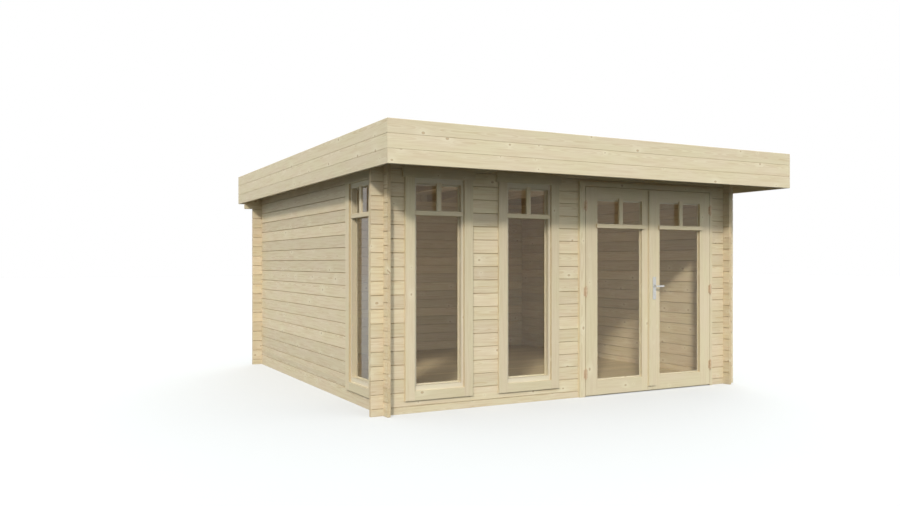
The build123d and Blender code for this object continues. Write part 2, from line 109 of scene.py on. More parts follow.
class NodeGraph:
    """Adds nodes to one shader tree and links them."""

    def __init__(self, tree: bpy.types.NodeTree) -> None:
        """Keep the tree that the nodes go into."""
        self.tree = tree

    def add(self, kind: str, **settings: object) -> bpy.types.Node:
        """Add a node and set its properties.

        Args:
            kind: Blender's name of the node type.
            settings: property values to set on the node.

        Returns:
            The new node.
        """
        node = self.tree.nodes.new(kind)
        for name, value in settings.items():
            setattr(node, name, value)
        return node

    def feed(self, target: Socket, value: object) -> None:
        """Link a socket to the target, or set the target's own value.

        Args:
            target: the input to feed.
            value: a socket, a number, a vector or a colour.
        """
        if isinstance(value, bpy.types.NodeSocket):
            self.tree.links.new(value, target)
        else:
            target.default_value = value

    def fed(self, kind: str, values: Sequence[object], **settings: object) -> bpy.types.Node:
        """Add a node and feed its first inputs in their order.

        Args:
            kind: Blender's name of the node type.
            values: sockets or values for the inputs.
            settings: property values to set on the node.

        Returns:
            The new node.
        """
        node = self.add(kind, **settings)
        for target, value in zip(node.inputs, values):
            self.feed(target, value)
        return node

    def named(self, node: bpy.types.Node, **values: object) -> bpy.types.Node:
        """Feed a node's inputs by their names.

        Args:
            node: the node to feed.
            values: sockets or values by input name, in which an underscore stands for a space.

        Returns:
            The same node.
        """
        for name, value in values.items():
            self.feed(node.inputs[name.replace("_", " ")], value)
        return node

    def math(self, operation: str, *values: object) -> Socket:
        """Result of a math operation on sockets or numbers."""
        return self.fed("ShaderNodeMath", values, operation=operation).outputs[0]

    def plus(self, first: object, second: object) -> Socket:
        """Sum of two values."""
        return self.math("ADD", first, second)

    def minus(self, first: object, second: object) -> Socket:
        """First value less the second."""
        return self.math("SUBTRACT", first, second)

    def times(self, first: object, second: object) -> Socket:
        """Product of two values."""
        return self.math("MULTIPLY", first, second)

    def ramp(self, value: object, limits: Range, start: object = 0.0, end: object = 1.0) -> Socket:
        """Smooth step of a value between two limits, put out from start to end."""
        inputs = (value, *limits, start, end)
        return self.fed("ShaderNodeMapRange", inputs, interpolation_type="SMOOTHSTEP").outputs[0]

    def mix(self, share: object, first: object, second: object, kind: MixKind = MixKind.COLOUR) -> Socket:
        """Blend two colours or vectors.

        Args:
            share: 0 for the first and 1 for the second.
            first: the first colour or vector.
            second: the second one.
            kind: what is blended.

        Returns:
            The blended colour or vector.
        """
        data_type, index, output = kind.value
        node = self.fed("ShaderNodeMix", (share,), data_type=data_type)
        self.feed(node.inputs[index], first)
        self.feed(node.inputs[index + 1], second)
        return node.outputs[output]

    def vector(self, x: object, y: object, z: object) -> Socket:
        """Vector from three sockets or numbers."""
        return self.fed("ShaderNodeCombineXYZ", (x, y, z)).outputs[0]

    def parts(self, vector: Socket) -> tuple[Socket, ...]:
        """The three numbers of a vector."""
        return tuple(self.fed("ShaderNodeSeparateXYZ", (vector,)).outputs)

    def length(self, vector: Socket) -> Socket:
        """Length of a vector."""
        return self.fed("ShaderNodeVectorMath", (vector,), operation="LENGTH").outputs["Value"]

    def noise(self, place: Socket, scale: float, detail: float = 2.0, roughness: float = 0.5) -> Socket:
        """Value of a noise texture, about 0.5 on average."""
        node = self.add("ShaderNodeTexNoise")
        return self.named(node, Vector=place, Scale=scale, Detail=detail, Roughness=roughness).outputs[0]

    def relief(self, height: Socket, strength: float, depth: float) -> Socket:
        """Normal of a surface with a fine relief."""
        node = self.add("ShaderNodeBump")
        return self.named(node, Strength=strength, Distance=depth, Height=height).outputs[0]

    def place(self) -> Socket:
        """Object coordinates."""
        return self.add("ShaderNodeTexCoord").outputs["Object"]


def opaque(colour: Colour) -> tuple[float, ...]:
    """Colour with full alpha."""
    return (*colour, 1.0)


def new_group(name: str, inputs: Sequence[tuple[str, str]], outputs: Sequence[tuple[str, str]]) -> tuple:
    """Make an empty shader node group with named sockets.

    Args:
        name: the group's name.
        inputs: names and socket types of the inputs.
        outputs: names and socket types of the outputs.

    Returns:
        The group, its graph, its inputs by name and its outputs by name.
    """
    tree = bpy.data.node_groups.new(name, "ShaderNodeTree")
    for label, kind in inputs:
        tree.interface.new_socket(label, in_out="INPUT", socket_type=kind)
    for label, kind in outputs:
        tree.interface.new_socket(label, in_out="OUTPUT", socket_type=kind)
    graph = NodeGraph(tree)
    source = graph.add("NodeGroupInput")
    target = graph.add("NodeGroupOutput")
    given = {label: source.outputs[label] for label, _ in inputs}
    wanted = {label: target.inputs[label] for label, _ in outputs}
    return tree, graph, given, wanted


def new_material(name: str) -> tuple[bpy.types.Material, NodeGraph, bpy.types.Node]:
    """Make a material with a Principled shader.

    Args:
        name: the material's name.

    Returns:
        The material, its graph and the shader node.
    """
    material = bpy.data.materials.new(name)
    material.use_nodes = True
    material.node_tree.nodes.clear()
    g = NodeGraph(material.node_tree)
    shader = g.add("ShaderNodeBsdfPrincipled")
    g.fed("ShaderNodeOutputMaterial", (shader.outputs[0],))
    return material, g, shader


def output_of(g: NodeGraph) -> bpy.types.Node:
    """The output node of a material."""
    return next(node for node in g.tree.nodes if node.type == "OUTPUT_MATERIAL")


def dress(piece: bpy.types.Object, material: bpy.types.Material) -> None:
    """Give a piece one material and report it.

    Args:
        piece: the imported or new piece.
        material: its finish.
    """
    piece.data.materials.clear()
    piece.data.materials.append(material)
    LOG.info("%s is dressed in %s", piece.name, material.name)


def prism(outline: np.ndarray, start: np.ndarray, side: np.ndarray, up: np.ndarray, run: np.ndarray) -> Mesh:
    """Carry a closed outline along a straight run.

    Each point is start + a * side + b * up, and the same plus run at the far end; the two ends are closed.

    Args:
        outline: points (a, b) of the outline, one row each.
        start: the outline's origin.
        side: direction of a.
        up: direction of b.
        run: the whole way from the near end to the far end.

    Returns:
        Vertices, and faces as rows of four indices, the ends as fans of quads.
    """
    near = start + outline[:, :1] * side + outline[:, 1:] * up
    count = len(outline)
    ring = np.arange(count)
    after = np.roll(ring, -1)
    walls = np.stack([ring, after, after + count, ring + count], axis=1)
    fan = np.arange(1, count - 1, 2)
    cap = np.stack([np.zeros_like(fan), fan, fan + 1, np.minimum(fan + 2, count - 1)], axis=1)
    return np.concatenate([near, near + run]), np.concatenate([walls, cap[:, ::-1], cap + count])


def lathe(profile: np.ndarray, centres: np.ndarray, axis: np.ndarray, segments: int) -> Mesh:
    """Turn a profile round an axis at several places.

    Each point is centre + r (cos t side + sin t other) + h axis, for the profile's r and h and turns t.

    Args:
        profile: points (r, h), from one pole to the other.
        centres: places of the copies, one row each.
        axis: unit direction of h.
        segments: steps round the axis.

    Returns:
        Vertices and faces of all the copies.
    """
    side = np.array([axis[1], axis[2], axis[0]], float)
    side -= axis * side.dot(axis)
    side /= np.linalg.norm(side)
    other = np.cross(axis, side)
    turn = np.linspace(0.0, 2.0 * np.pi, segments, endpoint=False)
    spoke = np.cos(turn)[:, None] * side + np.sin(turn)[:, None] * other
    shape = profile[:, None, :1] * spoke[None] + profile[:, None, 1:] * axis
    rows, flat = len(profile), shape.reshape(-1, 3)
    grid = np.arange(rows * segments).reshape(rows, segments)
    next_grid = np.roll(grid, -1, axis=1)
    faces = np.stack([grid[:-1], next_grid[:-1], next_grid[1:], grid[1:]], axis=-1).reshape(-1, 4)
    points = (centres[:, None] + flat[None]).reshape(-1, 3)
    steps = np.arange(len(centres))[:, None, None] * len(flat)
    return points, (faces[None] + steps).reshape(-1, 4)


def mitred_frame(
    section: np.ndarray, centre: np.ndarray, along: np.ndarray, up: np.ndarray, halves: Range
) -> Mesh:
    """Carry a closed section round a rectangle with mitred corners.

    At the corner with signs s and t each point is centre + s (a - d) along + t (b - d) up + h out, for the
    rectangle's halves a and b and the section's d and h, where out is the cross product of along and up.

    Args:
        section: points (d, h), d inwards from the rectangle's edge and h out of its plane.
        centre: middle of the rectangle.
        along: unit direction of one pair of sides.
        up: unit direction of the other pair.
        halves: half the rectangle's size along and half its size up.

    Returns:
        Vertices and faces of the closed frame.
    """
    inward, proud = section[:, :1], section[:, 1:]
    out = np.cross(along, up)
    signs = np.array([(-1.0, -1.0), (1.0, -1.0), (1.0, 1.0), (-1.0, 1.0)])
    sides = signs[:, None, :1] * (halves[0] - inward)[None] * along
    heights = signs[:, None, 1:] * (halves[1] - inward)[None] * up
    points = centre + sides + heights + (proud * out)[None]
    count = len(section)
    grid = np.arange(len(signs) * count).reshape(len(signs), count)
    beside, after = np.roll(grid, -1, axis=1), np.roll(grid, -1, axis=0)
    faces = np.stack([grid, beside, np.roll(beside, -1, axis=0), after], axis=-1)
    return points.reshape(-1, 3), faces.reshape(-1, 4)


def arc(centre: Range, radius: float, first: float, last: float, steps: int = 7) -> np.ndarray:
    """Points of an arc: centre + radius (cos t, sin t) for angles t in degrees from first to last."""
    turn = np.radians(np.linspace(first, last, steps))[:, None]
    return np.array(centre) + radius * np.concatenate([np.cos(turn), np.sin(turn)], axis=1)


def chamfered(width: float, depth: float, cut: float) -> np.ndarray:
    """Outline of a bar with its two front edges cut off; the back lies at depth 0 and the front at depth."""
    half = width / 2
    return np.array([(-half, 0.0), (half, 0.0), (half, depth - cut), (half - cut, depth),
                     (cut - half, depth), (-half, depth - cut)])


def mesh_of(piece: bpy.types.Object) -> Mesh:
    """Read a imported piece.

    Args:
        piece: the piece's object.

    Returns:
        Its vertices and triangles.
    """
    mesh = piece.data
    points = np.empty(3 * len(mesh.vertices))
    mesh.vertices.foreach_get("co", points)
    mesh.calc_loop_triangles()
    faces = np.empty(3 * len(mesh.loop_triangles), dtype=np.int32)
    mesh.loop_triangles.foreach_get("vertices", faces)
    return points.reshape(-1, 3), faces.reshape(-1, 3)


def joined(shapes: Sequence[Mesh]) -> Mesh:
    """Put several meshes into one.

    Args:
        shapes: meshes whose faces have the same number of corners.

    Returns:
        All their vertices and faces.
    """
    counts = np.cumsum([0] + [len(points) for points, _ in shapes[:-1]])
    faces = [rows + count for (_, rows), count in zip(shapes, counts)]
    return np.concatenate([points for points, _ in shapes]), np.concatenate(faces)


def make_piece(
    name: str, shape: Mesh, body: str, material: bpy.types.Material
) -> bpy.types.Object:
    """Make a mesh object that rides on a body.

    Args:
        name: the piece's name.
        shape: vertices and faces; a face whose last two indices agree is a triangle.
        body: the CAD body that it moves with.
        material: the finish.

    Returns:
        The new object, with doubles merged and faces turned outwards.
    """
    points, faces = shape
    mesh = bpy.data.meshes.new(name)
    mesh.from_pydata(points.tolist(), [], [list(dict.fromkeys(row)) for row in faces.tolist()])
    work = bmesh.new()
    work.from_mesh(mesh)
    bmesh.ops.remove_doubles(work, verts=work.verts, dist=MERGE_DISTANCE)
    bmesh.ops.recalc_face_normals(work, faces=work.faces)
    work.to_mesh(mesh)
    work.free()
    piece = bpy.data.objects.new(name, mesh)
    bpy.context.scene.collection.objects.link(piece)
    dress(piece, material)
    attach(piece, body)
    LOG.info("%s: %d faces on %s", name, len(mesh.polygons), body)
    return piece


@dataclass(frozen=True)
class GrainNoise:
    """A noise that is drawn out along the grain."""

    stretch: float
    scale: float
    detail: float = 2.0
    roughness: float = 0.5

    def value(self, g: NodeGraph, run: Socket, across: Socket, through: Socket) -> Socket:
        """Value of the noise at a place on the board."""
        place = g.vector(g.times(run, self.stretch), across, through)
        return g.noise(place, self.scale, self.detail, self.roughness)


@dataclass
class SpruceFigure:
    """The node group of planed spruce: growth rings, fibres, knots and a tone for each board."""

    knot_pitch_along: float = 0.34
    knot_pitch_across: float = 0.085
    knot_radii: Range = (0.0025, 0.009)
    knot_squeeze: float = 0.7
    knot_edge: Range = (0.8, 1.1)
    knot_waves: float = 19.0
    knot_depth: float = 0.72
    knot_swing: float = 0.28
    knot_strength: float = 0.95
    knot_push: float = 1.2
    knot_gloss: float = 0.12
    knot_height: float = 0.4
    rim_inner: Range = (0.7, 0.98)
    rim_outer: Range = (0.98, 1.3)
    rim_strength: float = 0.5
    rim_colour: Colour = (0.33, 0.2, 0.1)
    halo_fall: float = 0.045
    halo_clear: float = 0.8
    halo_strength: float = 0.16
    halo_colour: Colour = (0.86, 0.79, 0.6)
    # Seam marks darken the wood along the joints between boards: painted shade in the V grooves, together
    # with dirt there.
    seam_shade_strength: float = 0.2
    seam_shade_colour: Colour = (0.3, 0.21, 0.11)
    pink_cast: Colour = (1.015, 0.985, 0.99)
    yellow_cast: Colour = (1.0, 0.998, 0.955)
    cast_noise: GrainNoise = GrainNoise(0.35, 5.0)
    cast_range: Range = (0.35, 0.65)
    board_shift: float = 9.0
    pith_spread: float = 0.09
    pith_depth: float = 0.05
    pith_least: float = 0.3
    ring_noise: GrainNoise = GrainNoise(0.9, 1.6)
    ring_sway: float = 0.05
    ring_rise: Range = (0.25, 0.92)
    ring_fall: Range = (0.92, 1.0)
    ring_strength: float = 0.42
    ring_height: float = 0.35
    fibre_noise: GrainNoise = GrainNoise(0.02, 420.0, 3.0, 0.65)
    fibre_range: Range = (0.42, 0.75)
    fibre_strength: float = 0.22
    fibre_height: float = 0.5
    fibre_rough: float = 0.16
    streak_noise: GrainNoise = GrainNoise(0.05, 60.0, 3.0, 0.6)
    streak_range: Range = (0.4, 0.75)
    end_strength: float = 0.55
    roughness: float = 0.56

    def __post_init__(self) -> None:
        """Make the group's sockets and build it once."""
        number, colour = "NodeSocketFloat", "NodeSocketColor"
        numbers = ("Board", "End", "Seam", "Ring Spacing", "Knot Share", "Tone Spread", "Streak")
        inputs = [("Vector", "NodeSocketVector")] + [(name, number) for name in numbers]
        inputs += [(name, colour) for name in ("Pale", "Late", "Knot")]
        outputs = [("Color", colour), ("Roughness", number), ("Height", number)]
        self.tree, self.graph, self.given, self.wanted = new_group("spruce_figure", inputs, outputs)
        self.build()

    def build(self) -> None:
        """Link the figure: rings round a pith beside the board, bent where a knot pushes them out."""
        g, given = self.graph, self.given
        along, across, through = g.parts(given["Vector"])
        chance = g.named(g.add("ShaderNodeTexWhiteNoise", noise_dimensions="1D"), W=given["Board"])
        tone, lift, shift = g.parts(chance.outputs["Color"])
        run = g.plus(along, g.times(shift, self.board_shift))
        knot, rim, halo, push = self.knots(run, g.plus(across, through), lift)
        rings = self.rings((run, across, through), tone, lift, push)
        fibre = self.fibre_noise.value(g, run, across, through)
        streak = self.streak_noise.value(g, run, across, through)
        fine = g.ramp(fibre, self.fibre_range, 0.0, self.fibre_strength)
        late = g.plus(g.times(rings, self.ring_strength), fine)
        late = g.plus(late, g.ramp(streak, self.streak_range, 0.0, given["Streak"]))
        late = g.plus(late, g.times(given["End"], self.end_strength))
        late = g.times(late, g.minus(1.0, g.times(halo, self.halo_clear)))
        wood = g.mix(g.math("MINIMUM", late, 1.0), given["Pale"], given["Late"])
        shade = g.minus(1.0, g.times(tone, given["Tone Spread"]))
        toned = g.named(g.fed("ShaderNodeVectorMath", (wood,), operation="SCALE"), Scale=shade)
        turn = g.ramp(self.cast_noise.value(g, run, across, through), self.cast_range)
        cast = g.mix(turn, opaque(self.pink_cast), opaque(self.yellow_cast))
        colour = g.fed("ShaderNodeVectorMath", (toned.outputs[0], cast), operation="MULTIPLY").outputs[0]
        for mask, strength, over in (
            (halo, self.halo_strength, opaque(self.halo_colour)),
            (knot, self.knot_strength, given["Knot"]),
            (rim, self.rim_strength, opaque(self.rim_colour)),
            # the seam mark is painted shade in the joints, with dirt
            (given["Seam"], self.seam_shade_strength, opaque(self.seam_shade_colour)),
        ):
            colour = g.mix(g.times(mask, strength), colour, over)
        g.feed(self.wanted["Color"], colour)
        rough = g.plus(self.roughness, g.times(fibre, self.fibre_rough))
        g.feed(self.wanted["Roughness"], g.minus(rough, g.times(knot, self.knot_gloss)))
        height = g.plus(g.times(rings, self.ring_height), g.times(fibre, self.fibre_height))
        g.feed(self.wanted["Height"], g.plus(height, g.times(knot, self.knot_height)))

    def knots(self, run: Socket, side: Socket, lift: Socket) -> tuple[Socket, Socket, Socket, Socket]:
        """Round knots at the points of a Voronoi pattern, each with its own size; some points have none.

        Args:
            run: distance along the board.
            side: distance across the board's faces.
            lift: the board's random number, which moves its knots.

        Returns:
            Masks of the ringed knot, of its dark rim and of the pale wood round it, and how far it pushes
            the growth rings aside.
        """
        g = self.graph
        column = g.math("DIVIDE", run, self.knot_pitch_along)
        row = g.plus(g.math("DIVIDE", side, self.knot_pitch_across), g.times(lift, self.board_shift))
        cells = g.add("ShaderNodeTexVoronoi", voronoi_dimensions="2D", feature="F1")
        g.named(cells, Vector=g.vector(column, row, 0.0), Scale=1.0)
        spot_column, spot_row, _ = g.parts(cells.outputs["Position"])
        step_along = g.times(g.minus(column, spot_column), self.knot_pitch_along)
        step_across = g.times(g.minus(row, spot_row), self.knot_pitch_across)
        reach = g.length(g.vector(g.times(step_along, self.knot_squeeze), step_across, 0.0))
        size, luck, _ = g.parts(cells.outputs["Color"])
        radius = g.ramp(size, (0.0, 1.0), *self.knot_radii)
        radius = g.times(radius, g.math("LESS_THAN", luck, self.given["Knot Share"]))
        never_zero = 0.00001
        ratio = g.math("DIVIDE", reach, g.plus(radius, never_zero))
        waves = g.math("SINE", g.times(ratio, self.knot_waves))
        ringed = g.plus(self.knot_depth, g.times(waves, self.knot_swing))
        knot = g.times(g.ramp(ratio, self.knot_edge, 1.0, 0.0), ringed)
        rim = g.times(g.ramp(ratio, self.rim_inner), g.ramp(ratio, self.rim_outer, 1.0, 0.0))
        halo = g.math("EXPONENT", g.times(g.math("POWER", ratio, 2.0), -self.halo_fall))
        return knot, rim, halo, g.times(halo, radius)

    def rings(self, place: Sequence[Socket], tone: Socket, lift: Socket, push: Socket) -> Socket:
        """Dark late wood of each ring: a saw wave of the distance from the pith, waved along the board.

        Args:
            place: run along the board and the two distances from its middle.
            tone: the board's random number that moves the pith sideways.
            lift: the one that sets how deep the pith lies.
            push: how far a knot pushes the rings aside.

        Returns:
            A mask of the late wood.
        """
        g = self.graph
        _, across, through = place
        wave = self.ring_noise.value(g, *place)
        side = g.plus(across, g.times(g.minus(tone, 0.5), self.pith_spread))
        deep = g.plus(through, g.times(g.plus(lift, self.pith_least), self.pith_depth))
        bent = g.plus(g.length(g.vector(side, deep, 0.0)), g.times(wave, self.ring_sway))
        bent = g.plus(bent, g.times(push, self.knot_push))
        phase = g.math("FRACT", g.math("DIVIDE", bent, self.given["Ring Spacing"]))
        return g.times(g.ramp(phase, self.ring_rise), g.ramp(phase, self.ring_fall, 1.0, 0.0))


@dataclass(frozen=True)
class BoardLayout:
    """How the timbers of a piece lie: the grain, the board joints and where timbers are sawn through."""

    grain: Grain
    across: str = "z"
    pitch: float = WHOLE
    start: float = -WHOLE / 2
    middle: Point = (0.0, 0.0, 0.0)
    sawn: tuple[float, ...] = ()
    sawn_from: float = -WHOLE
    sawn_to: float = WHOLE
    stile_axis: str = ""
    stile_middle: float = 0.0
    stile_inner: float = 0.0
    stile_top: float = WHOLE
    stile_grain: Grain = Grain.UPRIGHT
    seam: float = 0.0
    seed: float = 0.0
    piece_step: ClassVar[float] = 37.0
    stile_step: ClassVar[float] = 3.0
    end_facing: ClassVar[float] = 0.8
    seam_core: ClassVar[float] = 0.2

    def frame(self, g: NodeGraph) -> dict[str, object]:
        """Turn a place on the piece into board coordinates.

        Args:
            g: the material's graph.

        Returns:
            The figure's inputs: a vector of the run along the grain and the two distances from the board's
            middle, the board's number, a mask of the sawn ends and one of the joints between boards, which
            paints shade and dirt into them.
        """
        axes = dict(zip("xyz", g.parts(g.place())))
        facing = dict(zip("xyz", g.parts(g.add("ShaderNodeNewGeometry").outputs["Normal"])))
        run_axis = self.grain.value
        local = {name: g.minus(axes[name], shift) for name, shift in zip("xyz", self.middle)}
        steps = g.math("DIVIDE", g.minus(axes[self.across], self.start), self.pitch)
        row = g.math("FLOOR", steps)
        inside = g.minus(g.times(g.minus(steps, row), self.pitch), self.pitch / 2)
        if self.pitch < WHOLE:
            local[self.across] = inside
        board = g.plus(row, self.seed)
        if self.sawn:
            board = g.plus(board, g.times(self.sawn_piece(g, axes), self.piece_step))
        flat = self.order(g, local, run_axis)
        end = g.math("ABSOLUTE", facing[run_axis])
        if self.stile_axis:
            away = g.minus(axes[self.stile_axis], self.stile_middle)
            beside = g.math("GREATER_THAN", g.math("ABSOLUTE", away), self.stile_inner)
            upright = g.times(beside, g.math("LESS_THAN", axes["z"], self.stile_top))
            flat = g.mix(upright, flat, self.order(g, local, self.stile_grain.value), MixKind.VECTOR)
            side = g.plus(self.stile_step, g.math("SIGN", away))
            board = g.plus(board, g.times(upright, side))
            stile_end = g.math("ABSOLUTE", facing[self.stile_grain.value])
            end = g.plus(g.times(end, g.minus(1.0, upright)), g.times(stile_end, upright))
        # The seam band darkens the wood near each board edge: painted shade in the joint, with dirt.
        seam = 0.0
        if self.seam:
            edge = self.pitch / 2
            seam = g.ramp(g.math("ABSOLUTE", inside), (edge - self.seam, edge - self.seam_core * self.seam))
        return dict(Vector=flat, Board=board, End=g.math("GREATER_THAN", end, self.end_facing), Seam=seam)

    def sawn_piece(self, g: NodeGraph, axes: dict[str, Socket]) -> Socket:
        """Number of the cuts that lie before a place on a sawn course.

        Args:
            g: the material's graph.
            axes: the place's coordinates by axis.

        Returns:
            The number, which is 0 on the courses that run through.
        """
        piece = 0.0
        for cut in self.sawn:
            piece = g.plus(piece, g.math("GREATER_THAN", axes[self.grain.value], cut))
        above = g.math("GREATER_THAN", axes["z"], self.sawn_from)
        return g.times(piece, g.times(above, g.math("LESS_THAN", axes["z"], self.sawn_to)))

    @staticmethod
    def order(g: NodeGraph, local: dict[str, Socket], run: str) -> Socket:
        """Vector with the run along the grain first."""
        rest = [name for name in "zyx" if name != run]
        return g.vector(local[run], local[rest[0]], local[rest[1]])


@dataclass(frozen=True)
class SpruceFinish:
    """Untreated spruce: colours, ring spacing, how many knots it has and how far its boards differ."""

    slot: str
    pale: Colour
    late: Colour
    knot: Colour = (0.46, 0.31, 0.17)
    ring_spacing: float = 0.0052
    knot_share: float = 0.3
    tone_spread: float = 0.14
    streak: float = 0.45
    bump: float = 0.25
    bump_depth: float = 0.0006
    specular: float = 0.3

    def material(self, figure: SpruceFigure, name: str, layout: BoardLayout) -> bpy.types.Material:
        """Make the finish for one piece.

        Args:
            figure: the spruce node group.
            name: the piece's name.
            layout: how the piece's boards lie.

        Returns:
            The new material.
        """
        material, g, shader = new_material(f"{name}_spruce")
        wood = g.named(
            g.add("ShaderNodeGroup", node_tree=figure.tree), Pale=opaque(self.pale), Late=opaque(self.late),
            Knot=opaque(self.knot), Ring_Spacing=self.ring_spacing, Knot_Share=self.knot_share,
            Tone_Spread=self.tone_spread, Streak=self.streak, **layout.frame(g),
        ).outputs
        normal = g.relief(wood["Height"], self.bump, self.bump_depth)
        g.named(shader, Base_Color=wood["Color"], Roughness=wood["Roughness"], Normal=normal,
                Specular_IOR_Level=self.specular)
        return material

    def cover(self, figure: SpruceFigure, node: bpy.types.Object, layout: BoardLayout) -> None:
        """Dress a packed timber."""
        dress(node, self.material(figure, node.name, layout))

    def piece(
        self, figure: SpruceFigure, name: str, shape: Mesh, body: str, layout: BoardLayout
    ) -> bpy.types.Object:
        """Make a new timber that rides on a body."""
        return make_piece(name, shape, body, self.material(figure, name, layout))


@dataclass(frozen=True)
class GlassFinish:
    """Clear float glass that lets daylight into the room."""

    slot: str = "clear_glass"
    tint: Colour = (0.99, 0.985, 0.96)
    ior: float = 1.32
    roughness: float = 0.0

    def material(self) -> bpy.types.Material:
        """Make the glass; shadow rays pass it, so that the room is lit through the panes.

        Returns:
            The new material.
        """
        material, g, shader = new_material(self.slot)
        g.named(shader, Base_Color=opaque(self.tint), Transmission_Weight=1.0, Roughness=self.roughness,
                IOR=self.ior)
        path = g.add("ShaderNodeLightPath").outputs
        through = g.math("MAXIMUM", path["Is Shadow Ray"], path["Is Diffuse Ray"])
        clear = g.fed("ShaderNodeBsdfTransparent", (opaque(self.tint),))
        mixed = g.fed("ShaderNodeMixShader", (through, shader.outputs[0], clear.outputs[0]))
        g.named(output_of(g), Surface=mixed.outputs[0])
        return material


@dataclass(frozen=True)
class MetalFinish:
    """Worn metal: a base colour, a darker bloom in patches and fine brushing."""

    slot: str
    base: Colour
    bloom: Colour
    roughness: float
    bloom_scale: float
    brush: Point
    metallic: float = 1.0
    bloom_range: Range = (0.42, 0.7)
    bloom_rough: float = 0.12
    brush_rough: float = 0.25
    bump: float = 0.12
    bump_depth: float = 0.0002

    def material(self) -> bpy.types.Material:
        """Make the metal.

        Returns:
            The new material.
        """
        material, g, shader = new_material(self.slot)
        place = g.place()
        patches = g.ramp(g.noise(place, self.bloom_scale, detail=4.0, roughness=0.6), self.bloom_range)
        drawn = g.named(g.add("ShaderNodeMapping"), Vector=place, Scale=self.brush).outputs[0]
        lines = g.noise(drawn, scale=1.0, detail=3.0, roughness=0.6)
        colour = g.mix(patches, opaque(self.base), opaque(self.bloom))
        rough = g.plus(self.roughness, g.times(g.minus(lines, 0.5), self.brush_rough))
        rough = g.plus(rough, g.times(patches, self.bloom_rough))
        normal = g.relief(lines, self.bump, self.bump_depth)
        g.named(shader, Base_Color=colour, Roughness=rough, Metallic=self.metallic, Normal=normal)
        return material


@dataclass(frozen=True)
class SheetFinish:
    """Matt rubber roofing sheet with soft creases and a little dust."""

    slot: str = "roof_membrane"
    base: Colour = (0.038, 0.038, 0.041)
    dust: Colour = (0.078, 0.076, 0.072)
    crease_scale: float = 2.2
    crease_range: Range = (0.4, 0.75)
    speck_scale: float = 90.0
    speck_range: Range = (0.3, 0.75)
    speck_height: float = 0.08
    speck_rough: float = 0.3
    roughness: float = 0.6
    bump: float = 0.3
    bump_depth: float = 0.004

    def material(self) -> bpy.types.Material:
        """Make the roofing sheet.

        Returns:
            The new material.
        """
        material, g, shader = new_material(self.slot)
        place = g.place()
        crease = g.noise(place, self.crease_scale, detail=4.0, roughness=0.55)
        speck = g.noise(place, self.speck_scale, detail=3.0, roughness=0.7)
        dusty = g.times(g.ramp(crease, self.crease_range), g.ramp(speck, self.speck_range))
        colour = g.mix(dusty, opaque(self.base), opaque(self.dust))
        rough = g.plus(self.roughness, g.times(speck, self.speck_rough))
        normal = g.relief(g.plus(crease, g.times(speck, self.speck_height)), self.bump, self.bump_depth)
        g.named(shader, Base_Color=colour, Roughness=rough, Normal=normal)
        return material


@dataclass(frozen=True)
class Finishes:
    """The pod's finishes; each carries a slot name."""

    log: SpruceFinish = SpruceFinish("spruce_log", (0.775, 0.677, 0.493), (0.625, 0.48, 0.29))
    sawn: SpruceFinish = SpruceFinish("sawn_spruce", (0.67, 0.58, 0.41), (0.5, 0.385, 0.23), bump=0.5)
    floor: SpruceFinish = SpruceFinish("floor_spruce", (0.68, 0.57, 0.38), (0.52, 0.39, 0.21))
    roof: SpruceFinish = SpruceFinish("roof_spruce", (0.69, 0.6, 0.42), (0.53, 0.41, 0.24))
    fascia: SpruceFinish = SpruceFinish(
        "fascia_spruce", (0.735, 0.65, 0.475), (0.605, 0.48, 0.305),
        knot_share=0.2, tone_spread=0.1, streak=0.4,
    )
    joinery: SpruceFinish = SpruceFinish(
        "joinery_spruce", (0.75, 0.66, 0.475), (0.61, 0.485, 0.3),
        knot_share=0.12, tone_spread=0.07, streak=0.3,
    )
    window: SpruceFinish = SpruceFinish(
        "joinery_spruce", (0.72, 0.655, 0.515), (0.615, 0.515, 0.36),
        knot_share=0.1, tone_spread=0.07, streak=0.3,
    )
    trim: SpruceFinish = SpruceFinish(
        "trim_spruce", (0.75, 0.66, 0.475), (0.61, 0.48, 0.295),
        knot_share=0.16, tone_spread=0.1, streak=0.35,
    )
    glass: GlassFinish = GlassFinish()
    hinge: MetalFinish = MetalFinish(
        "hinge_bronze", (0.62, 0.46, 0.31), (0.52, 0.38, 0.24),
        roughness=0.5, bloom_scale=55.0, brush=(900.0, 900.0, 60.0), metallic=0.4,
    )
    handle: MetalFinish = MetalFinish(
        "handle_steel", (0.58, 0.57, 0.55), (0.53, 0.52, 0.5),
        roughness=0.3, bloom_scale=30.0, brush=(60.0, 1500.0, 1500.0),
    )
    membrane: SheetFinish = SheetFinish()


FINISH = Finishes()


